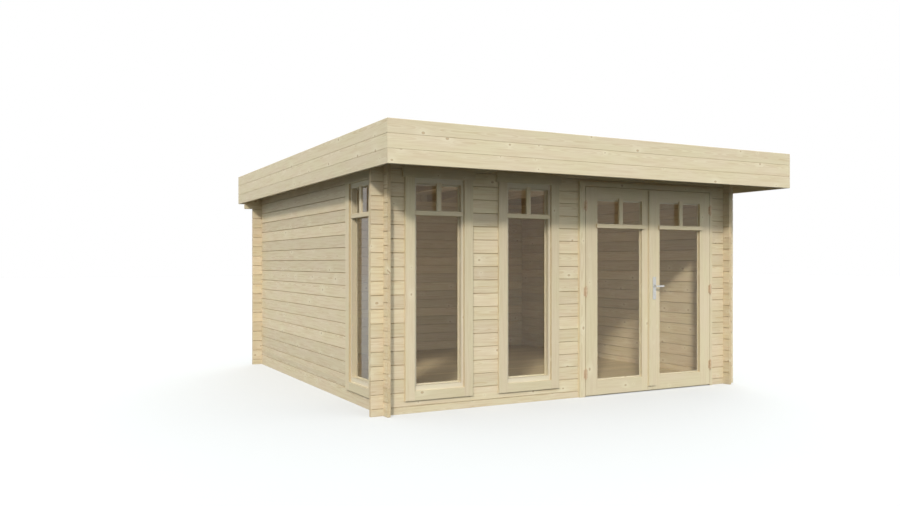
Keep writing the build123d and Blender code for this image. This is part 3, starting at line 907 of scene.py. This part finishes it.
@dataclass
class Walls:
    """The log walls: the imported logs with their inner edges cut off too, and a finish for each wall."""

    figure: SpruceFigure
    log_thickness: float = 0.028
    log_chamfer: float = 0.004
    # Width of the band of painted shade and dirt along each log joint.
    seam: float = 0.0045
    lintel_courses: float = COURSES - 1.5
    tolerance: float = 0.0001

    def build(self, nodes: Nodes) -> None:
        """Make each wall with a finish whose boards are its courses, sawn where the openings are.

        Args:
            nodes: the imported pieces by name.
        """
        names = ("front_left_window_frame", "front_middle_window_frame", "door_head")
        openings = [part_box(name) for name in names]
        front_cuts = tuple((low.x + high.x) / 2 for low, high in openings)
        side_low, side_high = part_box("side_window_frame")
        side_cuts = ((side_low.y + side_high.y) / 2,)
        courses = dict(pitch=LOG_HEIGHT, seam=self.seam, sawn_from=openings[0][0].z,
                       sawn_to=self.lintel_courses * LOG_HEIGHT)
        for side, axis, inward, cuts, seed in (
            ("front", 1, 1.0, front_cuts, 11.0),
            ("back", 1, -1.0, (), 211.0),
            ("left", 0, 1.0, side_cuts, 411.0),
            ("right", 0, -1.0, (), 611.0),
        ):
            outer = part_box(f"{side}_wall_even_logs")[0 if inward > 0.0 else 1][axis]
            middle = [0.0, 0.0, 0.0]
            middle[axis] = outer + inward * self.log_thickness / 2
            grain = Grain.ALONG_X if axis == 1 else Grain.ALONG_Y
            layout = BoardLayout(grain, start=-axis * LOG_HEIGHT / 2, middle=tuple(middle), sawn=cuts,
                                 seed=seed, **courses)
            material = FINISH.log.material(self.figure, f"{side}_logs", layout)
            for name in [name for name in nodes if name.startswith(f"{side}_wall_")]:
                points, faces = mesh_of(nodes[name])
                inner = np.abs(points[:, axis] - outer - inward * self.log_thickness) < self.tolerance
                points = self.cut_edges(points, inner, layout.start, 0 if "even" in name else 1)
                timbers = name.replace("_logs", "_timbers").replace("_top_log", "_top_timber")
                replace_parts(make_piece(timbers, (points, faces), CABIN, material), name)

    def cut_edges(self, points: np.ndarray, inner: np.ndarray, start: float, parity: int) -> np.ndarray:
        """Slope the inner shoulders of the logs, so that the joints show in the room as they do outside.

        A corner on the inner face at a joint moves away from the joint by the chamfer: up where it is the
        lower edge of a log, whose course number has the node's parity, and down where it is the upper edge.

        Args:
            points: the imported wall's vertices.
            inner: which of them lie on the inner face.
            start: level of joint number 0.
            parity: 0 for a node of even courses and 1 for one of odd courses.

        Returns:
            The moved vertices.
        """
        level = (points[:, 2] - start) / LOG_HEIGHT
        joint = np.round(level)
        ends = (points[:, 2] < self.tolerance) | (points[:, 2] > COURSES * LOG_HEIGHT - self.tolerance)
        held = np.abs(level - joint) * LOG_HEIGHT < self.tolerance
        lower = np.mod(joint, 2.0) == parity
        step = np.where(lower, self.log_chamfer, -self.log_chamfer)
        return points + np.where(held & inner & ~ends, step, 0.0)[:, None] * UP


@dataclass
class Planking:
    """A deck of tongued boards along X with V joints, made in place of a plain CAD slab."""

    figure: SpruceFigure
    name: str
    node: str
    finish: SpruceFinish
    chamfer: float
    seed: float
    face_up: bool = True
    recess_node: str = ""
    board_width: float = 0.096
    joint_gap: float = 0.0006

    def build(self) -> None:
        """Lay the boards side by side from the front edge of the slab to the back."""
        low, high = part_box(self.node)
        depth = high.y - low.y
        count = round(depth / self.board_width)
        pitch = depth / count
        shapes = []
        for row in range(count):
            back = low.y + (row + 1) * pitch
            for start, end, front in self.spans(low.x, high.x, back - pitch):
                section = self.section(back - front - self.joint_gap, high.z - low.z)
                place = np.array([start, (front + back) / 2, low.z])
                shapes.append(prism(section, place, DEEP, UP, (end - start) * ACROSS))
        # The seam band paints shade and dirt into the V joints between the boards.
        layout = BoardLayout(Grain.ALONG_X, across="y", pitch=pitch, start=low.y,
                             middle=(0.0, 0.0, (low.z + high.z) / 2), seam=self.chamfer, seed=self.seed)
        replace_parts(self.finish.piece(self.figure, self.name, joined(shapes), CABIN, layout), self.node)

    def section(self, width: float, depth: float) -> np.ndarray:
        """Section of one board, with the chamfered show face up or down."""
        points = chamfered(width, depth, self.chamfer)
        return points if self.face_up else np.stack([points[:, 0], depth - points[:, 1]], axis=1)

    def spans(self, left: float, right: float, front: float) -> list[Point]:
        """Divide a row where it meets the door frame, behind which a narrower board goes.

        Args:
            left: left end of the row.
            right: right end of the row.
            front: front edge of the row.

        Returns:
            Start, end and front edge of each board.
        """
        if not self.recess_node:
            return [(left, right, front)]
        low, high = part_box(self.recess_node)
        if front > high.y:
            return [(left, right, front)]
        start, end = low.x - self.joint_gap, high.x + self.joint_gap
        return [(left, start, front), (start, end, high.y + self.joint_gap), (end, right, front)]


@dataclass(frozen=True)
class BarSizes:
    """Sizes of the bars that divide a pane; behind is how far their backs lie behind the frame's face."""

    lap: float
    transom_bottom: float
    transom_height: float
    muntin_width: float
    depth: float
    behind: float = 0.0
    chamfer: float = 0.004


@dataclass
class Light:
    """A pane with bars that make one tall light and two small ones above it, and with beads on the room side.

    The origin is the middle of the frame's outer face at the ground, and along points to the right of someone
    who looks at the pane from outside.
    """

    figure: SpruceFigure
    name: str
    body: str
    origin: np.ndarray
    along: np.ndarray
    bars: BarSizes
    groove: float = 0.0078
    bead: float = 0.012
    bead_edge: float = 0.003
    bead_seat: float = 0.0002
    bar_seed: float = 900.0
    bar_seed_spread: float = 7.0
    bead_seed: float = 950.0
    bead_seed_spread: float = 11.0

    def __post_init__(self) -> None:
        """Read the pane's box and take the grooves from its width."""
        self.low, self.high = (np.array(corner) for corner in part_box(f"{self.name}_glass"))
        self.clear_half = float(np.abs(self.along).dot(self.high - self.low)) / 2 - self.groove
        self.grain = Grain.ALONG_X if self.along[0] else Grain.ALONG_Y

    def build(self) -> None:
        """Make the transom and the short upright over its middle, and then the beads."""
        bars, out = self.bars, np.cross(self.along, UP)
        half = self.clear_half + bars.lap
        back = self.origin - out * bars.behind
        level = bars.transom_bottom + bars.transom_height / 2
        transom = prism(chamfered(bars.transom_height, bars.depth, bars.chamfer),
                        back - self.along * half + UP * level, UP, out, self.along * 2 * half)
        foot = bars.transom_bottom + bars.transom_height
        muntin = prism(chamfered(bars.muntin_width, bars.depth, bars.chamfer),
                       back + UP * foot, self.along, out, UP * (self.high[2] - self.groove + bars.lap - foot))
        middle = tuple(float(value) for value in self.origin + UP * level)
        for name, shape, way in (("transom", transom, self.grain), ("muntin", muntin, Grain.UPRIGHT)):
            layout = BoardLayout(way, middle=middle, seed=self.bar_seed + self.bar_seed_spread * middle[0])
            FINISH.joinery.piece(self.figure, f"{self.name}_{name}", shape, self.body, layout)
        self.beads()

    def beads(self) -> None:
        """Hold the pane by quarter-round beads, mitred at the corners: the section's edge is an arc."""
        inward = np.cross(UP, self.along)
        middle = (self.low + self.high) / 2
        thickness = float(np.abs(inward).dot(self.high - self.low))
        seat = middle + inward * (thickness / 2 + self.bead_seat)
        edge, size, foot = self.bead_edge, self.bead, self.bead_seat
        round_edge = arc((edge, edge), size - edge, 0.0, 90.0)
        section = np.concatenate([[(foot, 0.0), (size, 0.0)], round_edge, [(foot, size)]])
        half_up = (self.high[2] - self.low[2]) / 2 - self.groove
        shape = mitred_frame(section, seat, -self.along, UP, (self.clear_half, half_up))
        layout = BoardLayout(self.grain, stile_axis=self.grain.value, stile_inner=self.clear_half - size,
                             stile_middle=float(np.abs(self.along).dot(middle)), middle=tuple(middle),
                             seed=self.bead_seed + self.bead_seed_spread * middle[0])
        FINISH.window.piece(self.figure, f"{self.name}_beads", shape, self.body, layout)


@dataclass
class Joinery:
    """Windows, door frame and leaves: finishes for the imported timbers, bars and glass."""

    figure: SpruceFigure
    window_bars: BarSizes = BarSizes(
        lap=0.014, transom_bottom=1.6205, transom_height=0.0405, muntin_width=0.043, depth=0.02, behind=0.014
    )
    leaf_bars: BarSizes = BarSizes(
        lap=0.016, transom_bottom=1.5515, transom_height=0.0395, muntin_width=0.045, depth=0.018
    )
    trim_inner: float = 0.2315
    trim_head: float = 0.0801
    lipping_reach: float = 0.0052
    lipping_back: float = 0.0032
    lipping_round: float = 0.0012
    lipping_inset: float = 0.0005
    window_seed: float = 700.0
    trim_seed_step: float = 5.0
    leaf_seed: float = 800.0
    frame_seed: float = 850.0
    lipping_seed: float = 870.0
    seed_spread: float = 13.0
    frame_seed_spread: float = 9.0

    def build(self, nodes: Nodes) -> None:
        """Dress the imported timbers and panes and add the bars, the beads and the lipping.

        Args:
            nodes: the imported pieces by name.
        """
        glass = FINISH.glass.material()
        for name, node in nodes.items():
            if name.endswith("_glass"):
                dress(node, glass)
        self.window(nodes, "front_left_window", Grain.ALONG_X)
        self.window(nodes, "front_middle_window", Grain.ALONG_X)
        self.window(nodes, "side_window", Grain.ALONG_Y)
        self.leaf(nodes, "left_leaf")
        self.leaf(nodes, "right_leaf")
        self.frame(nodes)
        self.lipping()

    def window(self, nodes: Nodes, name: str, grain: Grain) -> None:
        """Dress one window and give it its bars and beads.

        Args:
            nodes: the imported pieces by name.
            name: the window's name.
            grain: the way along its wall.
        """
        low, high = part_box(f"{name}_frame")
        middle = (low + high) / 2
        if grain is Grain.ALONG_X:
            origin, along = np.array([middle.x, low.y, 0.0]), ACROSS
        else:
            origin, along = np.array([low.x, middle.y, 0.0]), -DEEP
        light = Light(self.figure, name, CABIN, origin, along, self.window_bars)
        stile = dict(stile_axis=grain.value, stile_middle=getattr(middle, grain.value), middle=tuple(middle))
        seed = self.window_seed + self.seed_spread * middle.x
        frame = BoardLayout(grain, stile_inner=light.clear_half, seed=seed, **stile)
        FINISH.window.cover(self.figure, nodes[f"{name}_frame"], frame)
        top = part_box(f"{name}_trim")[1].z - self.trim_head
        trim = BoardLayout(grain, stile_inner=self.trim_inner, stile_top=top,
                           seed=seed + self.trim_seed_step, **stile)
        FINISH.trim.cover(self.figure, nodes[f"{name}_trim"], trim)
        light.build()

    def leaf(self, nodes: Nodes, body: str) -> None:
        """Dress one door leaf and give it its bars and beads.

        Args:
            nodes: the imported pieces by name.
            body: the leaf's name.
        """
        low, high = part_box(f"{body}_frame")
        pane_low, pane_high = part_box(f"{body}_glass")
        centre = (pane_low.x + pane_high.x) / 2
        light = Light(self.figure, body, body, np.array([centre, low.y, 0.0]), ACROSS, self.leaf_bars)
        layout = BoardLayout(Grain.ALONG_X, stile_axis="x", stile_middle=centre, stile_inner=light.clear_half,
                             middle=tuple((low + high) / 2),
                             seed=self.leaf_seed + self.seed_spread * centre)
        FINISH.joinery.cover(self.figure, nodes[f"{body}_frame"], layout)
        light.build()

    def frame(self, nodes: Nodes) -> None:
        """Dress the jambs, head, threshold and meeting strip.

        Args:
            nodes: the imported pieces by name.
        """
        for name, grain in (
            ("door_left_jamb", Grain.UPRIGHT),
            ("door_right_jamb", Grain.UPRIGHT),
            ("right_leaf_meeting_strip", Grain.UPRIGHT),
            ("door_head", Grain.ALONG_X),
            ("door_threshold", Grain.ALONG_X),
        ):
            low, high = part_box(name)
            seed = self.frame_seed + self.frame_seed_spread * low.x
            layout = BoardLayout(grain, middle=tuple((low + high) / 2), seed=seed)
            FINISH.joinery.cover(self.figure, nodes[name], layout)

    def lipping(self) -> None:
        """A strip on the right leaf's meeting edge, which narrows the gap to the left leaf.

        Its outline has two rounded edges, and it reaches less far at the back, so that the leaves pass.
        """
        low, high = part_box("right_leaf_frame")
        edge, inset = self.lipping_round, self.lipping_inset
        depth = high.y - low.y - 2 * inset
        back = arc((edge - self.lipping_back, depth - edge), edge, 90.0, 180.0)
        front = arc((edge - self.lipping_reach, edge), edge, 180.0, 270.0)
        outline = np.concatenate([back, front, [(0.0, 0.0), (0.0, depth)]])
        start = np.array([low.x, low.y + inset, low.z])
        shape = prism(outline, start, ACROSS, DEEP, UP * (high.z - low.z))
        layout = BoardLayout(Grain.UPRIGHT, middle=tuple((low + high) / 2), seed=self.lipping_seed)
        FINISH.joinery.piece(self.figure, "right_leaf_lipping", shape, "right_leaf", layout)


@dataclass
class Roof:
    """Purlins, blocking, boards, kerb, sheet and fascia."""

    figure: SpruceFigure
    fascia_pitch: float = 0.1106
    fascia_gap: float = 0.0006
    board_chamfer: float = 0.004
    purlin_pitch: float = 0.7504
    purlin_start: float = -2.2512
    purlin_level: float = 2.1
    kerb_level: float = 2.2
    upstand_height: float = 0.095
    upstand_thickness: float = 0.0025
    upstand_cove: float = 0.02
    board_seed: float = 1200.0
    fascia_seed: float = 1000.0
    fascia_seed_spread: Range = (40.0, 90.0)
    blocking_seed: float = 31.0
    kerb_seed: float = 41.0

    def build(self, nodes: Nodes) -> None:
        """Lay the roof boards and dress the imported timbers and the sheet.

        Args:
            nodes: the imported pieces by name.
        """
        Planking(self.figure, "roof_planks", "roof_boards", FINISH.roof, self.board_chamfer, self.board_seed,
                 face_up=False).build()
        by_x, by_y = self.fascia_seed_spread
        for name, grain in (
            ("front_fascia", Grain.ALONG_X),
            ("back_fascia", Grain.ALONG_X),
            ("left_fascia", Grain.ALONG_Y),
            ("right_fascia", Grain.ALONG_Y),
        ):
            low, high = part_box(name)
            layout = BoardLayout(grain, pitch=self.fascia_pitch, start=low.z - self.fascia_gap / 2,
                                 middle=tuple((low + high) / 2),
                                 seed=self.fascia_seed + by_x * low.x + by_y * low.y)
            FINISH.fascia.cover(self.figure, nodes[name], layout)
        eave, kerb = (0.0, 0.0, self.purlin_level), (0.0, 0.0, self.kerb_level)
        purlins = BoardLayout(Grain.ALONG_Y, across="x", pitch=self.purlin_pitch, start=self.purlin_start,
                              middle=eave)
        blocking = BoardLayout(Grain.ALONG_X, middle=eave, seed=self.blocking_seed)
        mitred = BoardLayout(Grain.ALONG_X, middle=kerb, stile_axis="x", stile_grain=Grain.ALONG_Y,
                             stile_inner=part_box("roof_membrane")[1].x, seed=self.kerb_seed)
        FINISH.sawn.cover(self.figure, nodes["roof_purlins"], purlins)
        FINISH.sawn.cover(self.figure, nodes["eave_blocking"], blocking)
        FINISH.sawn.cover(self.figure, nodes["roof_kerb"], mitred)
        sheet = FINISH.membrane.material()
        dress(nodes["roof_membrane"], sheet)
        self.upstand(sheet)

    def upstand(self, sheet: bpy.types.Material) -> None:
        """Turn the sheet up the kerb on a coved foot, whose section is an arc under a thin wall.

        Args:
            sheet: the sheet's finish.
        """
        _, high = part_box("roof_membrane")
        thick, cove, top = self.upstand_thickness, self.upstand_cove, self.upstand_height
        foot = arc((thick + cove, cove), cove, 270.0, 180.0)
        section = np.concatenate([[(0.0, 0.0)], foot, [(thick, top), (0.0, top)]])
        shape = mitred_frame(section, UP * high.z, ACROSS, DEEP, (high.x, high.y))
        make_piece("roof_membrane_upstand", shape, CABIN, sheet)


@dataclass
class Floor:
    """The boarded floor on its bearers, and the board that closes it at the door."""

    figure: SpruceFigure
    board_chamfer: float = 0.0025
    bearer_pitch: float = 0.4598
    bearer_start: float = -2.0691
    bearer_level: float = 0.02
    sill_depth: float = 0.023
    sill_round: float = 0.008
    sill_seat: float = 0.0002
    lip_width: float = 0.0117
    lip_length: float = 0.0247
    lip_rise: float = 0.006
    lip_slope: float = 0.001
    board_seed: float = 1400.0
    sill_seed: float = 1500.0

    def build(self, nodes: Nodes) -> None:
        """Lay the floor boards, close their edge at the door and dress the bearers.

        Args:
            nodes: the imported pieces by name.
        """
        Planking(self.figure, "floor_planks", "floor_boards", FINISH.floor, self.board_chamfer,
                 self.board_seed, recess_node="door_head").build()
        layout = BoardLayout(Grain.ALONG_Y, across="x", pitch=self.bearer_pitch, start=self.bearer_start,
                             middle=(0.0, 0.0, self.bearer_level))
        FINISH.sawn.cover(self.figure, nodes["floor_bearers"], layout)
        self.sill()

    def sill(self) -> None:
        """A board on the threshold's stop, level with the floor, and a block in each rebate beside the lip.

        The board's section is a rectangle with a rounded front edge, and a block slopes down to the front.
        """
        low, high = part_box("door_threshold")
        _, floor_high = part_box("floor_boards")
        rise, depth, radius = floor_high.z - high.z - self.sill_seat, self.sill_depth, self.sill_round
        edge = arc((depth - radius, rise - radius), radius, 0.0, 90.0)
        board = np.concatenate([[(0.0, 0.0), (depth, 0.0)], edge, [(0.0, rise)]])
        start = np.array([low.x, high.y, high.z + self.sill_seat])
        shapes = [prism(board, start, -DEEP, UP, (high.x - low.x) * ACROSS)]
        lip, top = self.lip_length, self.lip_rise
        block = np.array([(0.0, 0.0), (lip, 0.0), (lip, top - self.lip_slope), (0.0, top)])
        for corner in (low.x - self.lip_width - self.sill_seat, high.x + self.sill_seat):
            foot = np.array([corner, low.y + lip, low.z])
            shapes.append(prism(block, foot, -DEEP, UP, self.lip_width * ACROSS))
        layout = BoardLayout(Grain.ALONG_X, middle=(0.0, high.y, high.z), seed=self.sill_seed)
        FINISH.floor.piece(self.figure, "door_sill_board", joined(shapes), CABIN, layout)


@dataclass
class Hardware:
    """Hinges with turned finials and screws, and the lever handle with its roses, lock and screws."""

    turn_steps: int = 20
    hinge_half: float = 0.038
    hinge_middle_share: float = 0.4894
    flap_half: float = 0.006
    flap_thickness: float = 0.0025
    flap_screw_reach: float = 0.024
    lock_drop: float = 0.072
    lock_radius: float = 0.0085
    lock_height: float = 0.033
    lock_stem: float = 0.005
    lock_stem_share: float = 0.72
    lock_proud: float = 0.002
    lock_round_share: float = 0.25
    plug_radius: float = 0.0058
    plug_proud: float = 0.0009
    plug_sink: float = 0.0003
    plug_steps: int = 15
    key_slot_half: float = 0.0006
    plate_screw_inset: float = 0.013
    rose_gap: float = 0.0003

    def build(self, nodes: Nodes, joints: Sequence[dict]) -> None:
        """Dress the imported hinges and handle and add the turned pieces.

        Args:
            nodes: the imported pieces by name.
            joints: the frame's joints.
        """
        bronze = FINISH.hinge.material()
        steel = FINISH.handle.material()
        for name, node in nodes.items():
            if name.endswith("_hinges"):
                dress(node, bronze)
        for name in ("door_handle_plates", "door_lever"):
            dress(nodes[name], steel)
        places = {joint["name"]: np.array(joint["pos_m"], float) for joint in joints}
        for side in ("left", "right"):
            self.hinges(side, places[f"{side}_leaf_swing"], bronze)
        self.handle(places["lever_turn"], steel)

    def hinges(self, side: str, place: np.ndarray, bronze: bpy.types.Material) -> None:
        """Turned knobs under each lower knuckle and on each upper one, and two screws in each flap.

        A knob is a collar, a neck and a rounded tip, turned round the hinge's axis.

        Args:
            side: the leaf's side.
            place: a point on the hinge's axis.
            bronze: the finish.
        """
        knob = np.array([(0.0, 0.0), (0.0078, 0.0), (0.0082, 0.0012), (0.0078, 0.0024), (0.005, 0.0038),
                         (0.0048, 0.0052), (0.0062, 0.0074), (0.0064, 0.0092), (0.0052, 0.0116),
                         (0.0026, 0.0134), (0.0, 0.0139)])
        heights = self.heights(side)
        levels = np.concatenate([heights - self.flap_screw_reach, heights + self.flap_screw_reach])
        for body, part, sign in ((f"{side}_leaf", "leaf", 1.0), (CABIN, "jamb", -1.0)):
            low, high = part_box(f"{side}_{part}_hinges")
            knobs = lathe(knob, self.column(place[0], place[1], heights + sign * self.hinge_half),
                          UP * sign, self.turn_steps)
            flap_left = high.x - place[0] < place[0] - low.x
            outer = low.x + self.flap_half if flap_left else high.x - self.flap_half
            screws = self.screws(self.column(outer, high.y - self.flap_thickness, levels), -1.0)
            make_piece(f"{side}_hinge_{part}_knobs", joined([knobs, screws]), body, bronze)

    @staticmethod
    def column(x: float, y: float, levels: np.ndarray) -> np.ndarray:
        """Places above each other at the given levels."""
        return np.stack([np.full(len(levels), x), np.full(len(levels), y), levels], axis=1)

    def heights(self, side: str) -> np.ndarray:
        """Find the middle heights of a leaf's three hinges.

        Args:
            side: the leaf's side.

        Returns:
            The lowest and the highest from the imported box, and the middle one between them.
        """
        low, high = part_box(f"{side}_leaf_hinges")
        first, last = low.z + self.hinge_half, high.z - self.hinge_half
        return np.array([first, first + (last - first) * self.hinge_middle_share, last])

    def screws(self, places: np.ndarray, sign: float) -> Mesh:
        """Raised screw heads with a round socket, which face along Y by the sign."""
        head = np.array([(0.0, 0.0), (0.0031, 0.0), (0.0031, 0.0003), (0.0025, 0.0008), (0.0014, 0.001),
                         (0.0012, 0.0004), (0.0, 0.0003)])
        return lathe(head, places, sign * DEEP, self.turn_steps)

    def handle(self, place: np.ndarray, steel: bpy.types.Material) -> None:
        """A turned rose behind each lever, and a lock cylinder and two screws on each plate.

        Args:
            place: a point on the lever's axis.
            steel: the finish.
        """
        low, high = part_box("door_handle_plates")
        rose = np.array([(0.0, 0.0), (0.0124, 0.0), (0.013, 0.0008), (0.013, 0.0034), (0.0118, 0.005),
                         (0.0102, 0.0058), (0.0, 0.0058)])
        levels = np.array([low.z + self.plate_screw_inset, high.z - self.plate_screw_inset])
        roses, fittings = [], []
        for face, sign in ((low.y, -1.0), (high.y, 1.0)):
            centre = np.array([[place[0], face + sign * self.rose_gap, place[2]]])
            roses.append(lathe(rose, centre, sign * DEEP, 2 * self.turn_steps))
            fittings.extend(self.lock(np.array([place[0], face, place[2] - self.lock_drop]), sign * DEEP))
            fittings.append(self.screws(self.column(place[0], face, levels), sign))
        make_piece("door_lever_roses", joined(roses), "lever", steel)
        make_piece("door_plate_fittings", joined(fittings), "right_leaf", steel)

    def lock(self, centre: np.ndarray, out: np.ndarray) -> list[Mesh]:
        """End of a profile cylinder: a turned body over a rounded stem, and a plug in two halves.

        Each half of the plug is an arc that stops at the key slot.

        Args:
            centre: middle of the round body, on the plate.
            out: the way out of the plate.

        Returns:
            The meshes of the body, the stem and the plug.
        """
        radius, proud, stem = self.lock_radius, self.lock_proud, self.lock_stem
        edge = self.lock_round_share * proud
        body = np.array([(0.0, 0.0), (radius, 0.0), (radius, proud - edge), (radius - edge, proud),
                         (0.0, proud)])
        foot = arc((0.0, radius + stem - self.lock_height), stem, 180.0, 360.0)
        outline = np.concatenate([foot, [(stem, -stem), (-stem, -stem)]])
        shapes = [lathe(body, centre[None], out, 2 * self.turn_steps),
                  prism(outline, centre, ACROSS, UP, out * proud * self.lock_stem_share)]
        open_angle = math.degrees(math.acos(self.key_slot_half / self.plug_radius))
        for turn in (0.0, 180.0):
            half = arc((0.0, 0.0), self.plug_radius, turn - open_angle, turn + open_angle, self.plug_steps)
            sunk = centre + out * (proud - self.plug_sink)
            shapes.append(prism(half, sunk, ACROSS, UP, out * (self.plug_proud + self.plug_sink)))
        return shapes


@dataclass
class Studio:
    """Camera, soft lamps, sky and floor."""

    camera_place: Point = (-4.432, -7.688, 1.2314)
    camera_turn: float = -27.747
    lens: float = 32.254
    sensor: float = 36.0
    shift: float = 0.0108
    sight: float = 500.0
    key_travel: Point = (0.815, 1.0, -0.685)
    key_strength: float = 2.0
    key_angle: float = 6.0
    key_colour: Colour = (1.0, 0.97, 0.91)
    room_place: Point = (0.0, 0.2, 1.2)
    room_power: float = 8.0
    room_radius: float = 0.4
    room_colour: Colour = (1.0, 0.98, 0.93)
    fill_travel: Point = (-0.6, -0.8, -0.45)
    fill_strength: float = 0.9
    fill_angle: float = 40.0
    sky_strength: float = 1.08
    sky_colour: Colour = (0.93, 1.0, 1.02)
    sky_lean: Point = (0.14, -0.14, 0.0)
    floor_size: float = 120.0
    floor_drop: float = 0.001
    floor_colour: Colour = (0.06, 0.07, 0.07)
    floor_seen: Colour = (0.52, 0.52, 0.52)
    floor_glow: float = 0.34

    def build(self) -> None:
        """Set up the light and the view."""
        self.view()
        self.far_lamp("soft_key", self.key_travel, self.key_strength, self.key_angle, self.key_colour)
        self.far_lamp("back_fill", self.fill_travel, self.fill_strength, self.fill_angle, self.sky_colour)
        self.room_fill()
        self.sky()
        self.ground()
        bpy.context.scene.view_settings.view_transform = "Standard"

    @staticmethod
    def put(name: str, data: bpy.types.ID) -> bpy.types.Object:
        """Put a new object into the scene.

        Args:
            name: the object's name.
            data: its camera, lamp or mesh.

        Returns:
            The new object.
        """
        thing = bpy.data.objects.new(name, data)
        bpy.context.scene.collection.objects.link(thing)
        return thing

    def view(self) -> None:
        """Place the camera where the photograph was taken."""
        data = bpy.data.cameras.new("photo_camera")
        data.lens, data.sensor_width = self.lens, self.sensor
        data.shift_y, data.clip_end = self.shift, self.sight
        camera = self.put("photo_camera", data)
        camera.location = self.camera_place
        camera.rotation_euler = (math.pi / 2, 0.0, math.radians(self.camera_turn))
        bpy.context.scene.camera = camera

    def far_lamp(self, name: str, travel: Point, strength: float, angle: float, colour: Colour) -> None:
        """Add a far, soft lamp.

        Args:
            name: the lamp's name.
            travel: the way that its light goes.
            strength: its light on a surface that faces it.
            angle: how wide it looks, in degrees.
            colour: the colour of its light.
        """
        data = bpy.data.lights.new(name, "SUN")
        data.energy, data.angle, data.color = strength, math.radians(angle), colour
        across, away, rise = travel
        drop = math.atan2(math.hypot(across, away), -rise)
        self.put(name, data).rotation_euler = (drop, 0.0, math.atan2(-across, away))

    def room_fill(self) -> None:
        """Add a weak round lamp in the room, which stands for the light that the walls pass on."""
        data = bpy.data.lights.new("room_fill", "POINT")
        data.energy, data.shadow_soft_size, data.color = self.room_power, self.room_radius, self.room_colour
        lamp = self.put("room_fill", data)
        lamp.location = self.room_place
        lamp.visible_camera = lamp.visible_glossy = lamp.visible_transmission = False

    @staticmethod
    def seen(g: NodeGraph) -> Socket:
        """Tell which rays show the background.

        Args:
            g: the graph of the sky or the floor.

        Returns:
            1 for rays from the camera, mirrored or through glass, and 0 for the rest.
        """
        path = g.add("ShaderNodeLightPath").outputs
        total = g.plus(path["Is Camera Ray"], path["Is Glossy Ray"])
        return g.math("MINIMUM", g.plus(total, path["Is Transmission Ray"]), 1.0)

    def sky(self) -> None:
        """A sky that looks white and lights more from the front right: strength times 1 plus lean by way."""
        world = bpy.data.worlds.new("even_sky")
        world.use_nodes = True
        world.node_tree.nodes.clear()
        g = NodeGraph(world.node_tree)
        way = g.add("ShaderNodeTexCoord").outputs["Generated"]
        lean = g.fed("ShaderNodeVectorMath", (way, self.sky_lean), operation="DOT_PRODUCT").outputs["Value"]
        strength = g.times(self.sky_strength, g.plus(1.0, lean))
        lit = g.fed("ShaderNodeBackground", (opaque(self.sky_colour), strength))
        white = g.fed("ShaderNodeBackground", (opaque((1.0, 1.0, 1.0)),))
        mixed = g.fed("ShaderNodeMixShader", (self.seen(g), lit.outputs[0], white.outputs[0]))
        g.fed("ShaderNodeOutputWorld", (mixed.outputs[0],))
        bpy.context.scene.world = world

    def ground(self) -> None:
        """A pale floor that looks white where it is lit and keeps the pod's shadow."""
        half = self.floor_size / 2
        mesh = bpy.data.meshes.new("studio_floor")
        square = half * np.array([(-1.0, -1.0, 0.0), (1.0, -1.0, 0.0), (1.0, 1.0, 0.0), (-1.0, 1.0, 0.0)])
        mesh.from_pydata((square - UP * self.floor_drop).tolist(), [], [[0, 1, 2, 3]])
        floor = self.put("studio_floor", mesh)
        material, g, shader = new_material("studio_floor")
        g.tree.nodes.remove(shader)
        plain = g.fed("ShaderNodeBsdfDiffuse", (opaque(self.floor_colour),))
        shown = g.fed("ShaderNodeBsdfDiffuse", (opaque(self.floor_seen),))
        glow = g.named(g.add("ShaderNodeEmission"), Strength=self.floor_glow)
        total = g.fed("ShaderNodeAddShader", (shown.outputs[0], glow.outputs[0]))
        mixed = g.fed("ShaderNodeMixShader", (self.seen(g), plain.outputs[0], total.outputs[0]))
        g.named(output_of(g), Surface=mixed.outputs[0])
        dress(floor, material)


def main() -> None:
    """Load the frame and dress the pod."""
    logging.basicConfig(level=logging.INFO, format="%(message)s")
    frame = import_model()
    nodes = frame["nodes"]
    figure = SpruceFigure()
    Walls(figure).build(nodes)
    Floor(figure).build(nodes)
    Roof(figure).build(nodes)
    Joinery(figure).build(nodes)
    Hardware().build(nodes, frame["joints"])
    Studio().build()


if __name__ == "__main__":
    main()
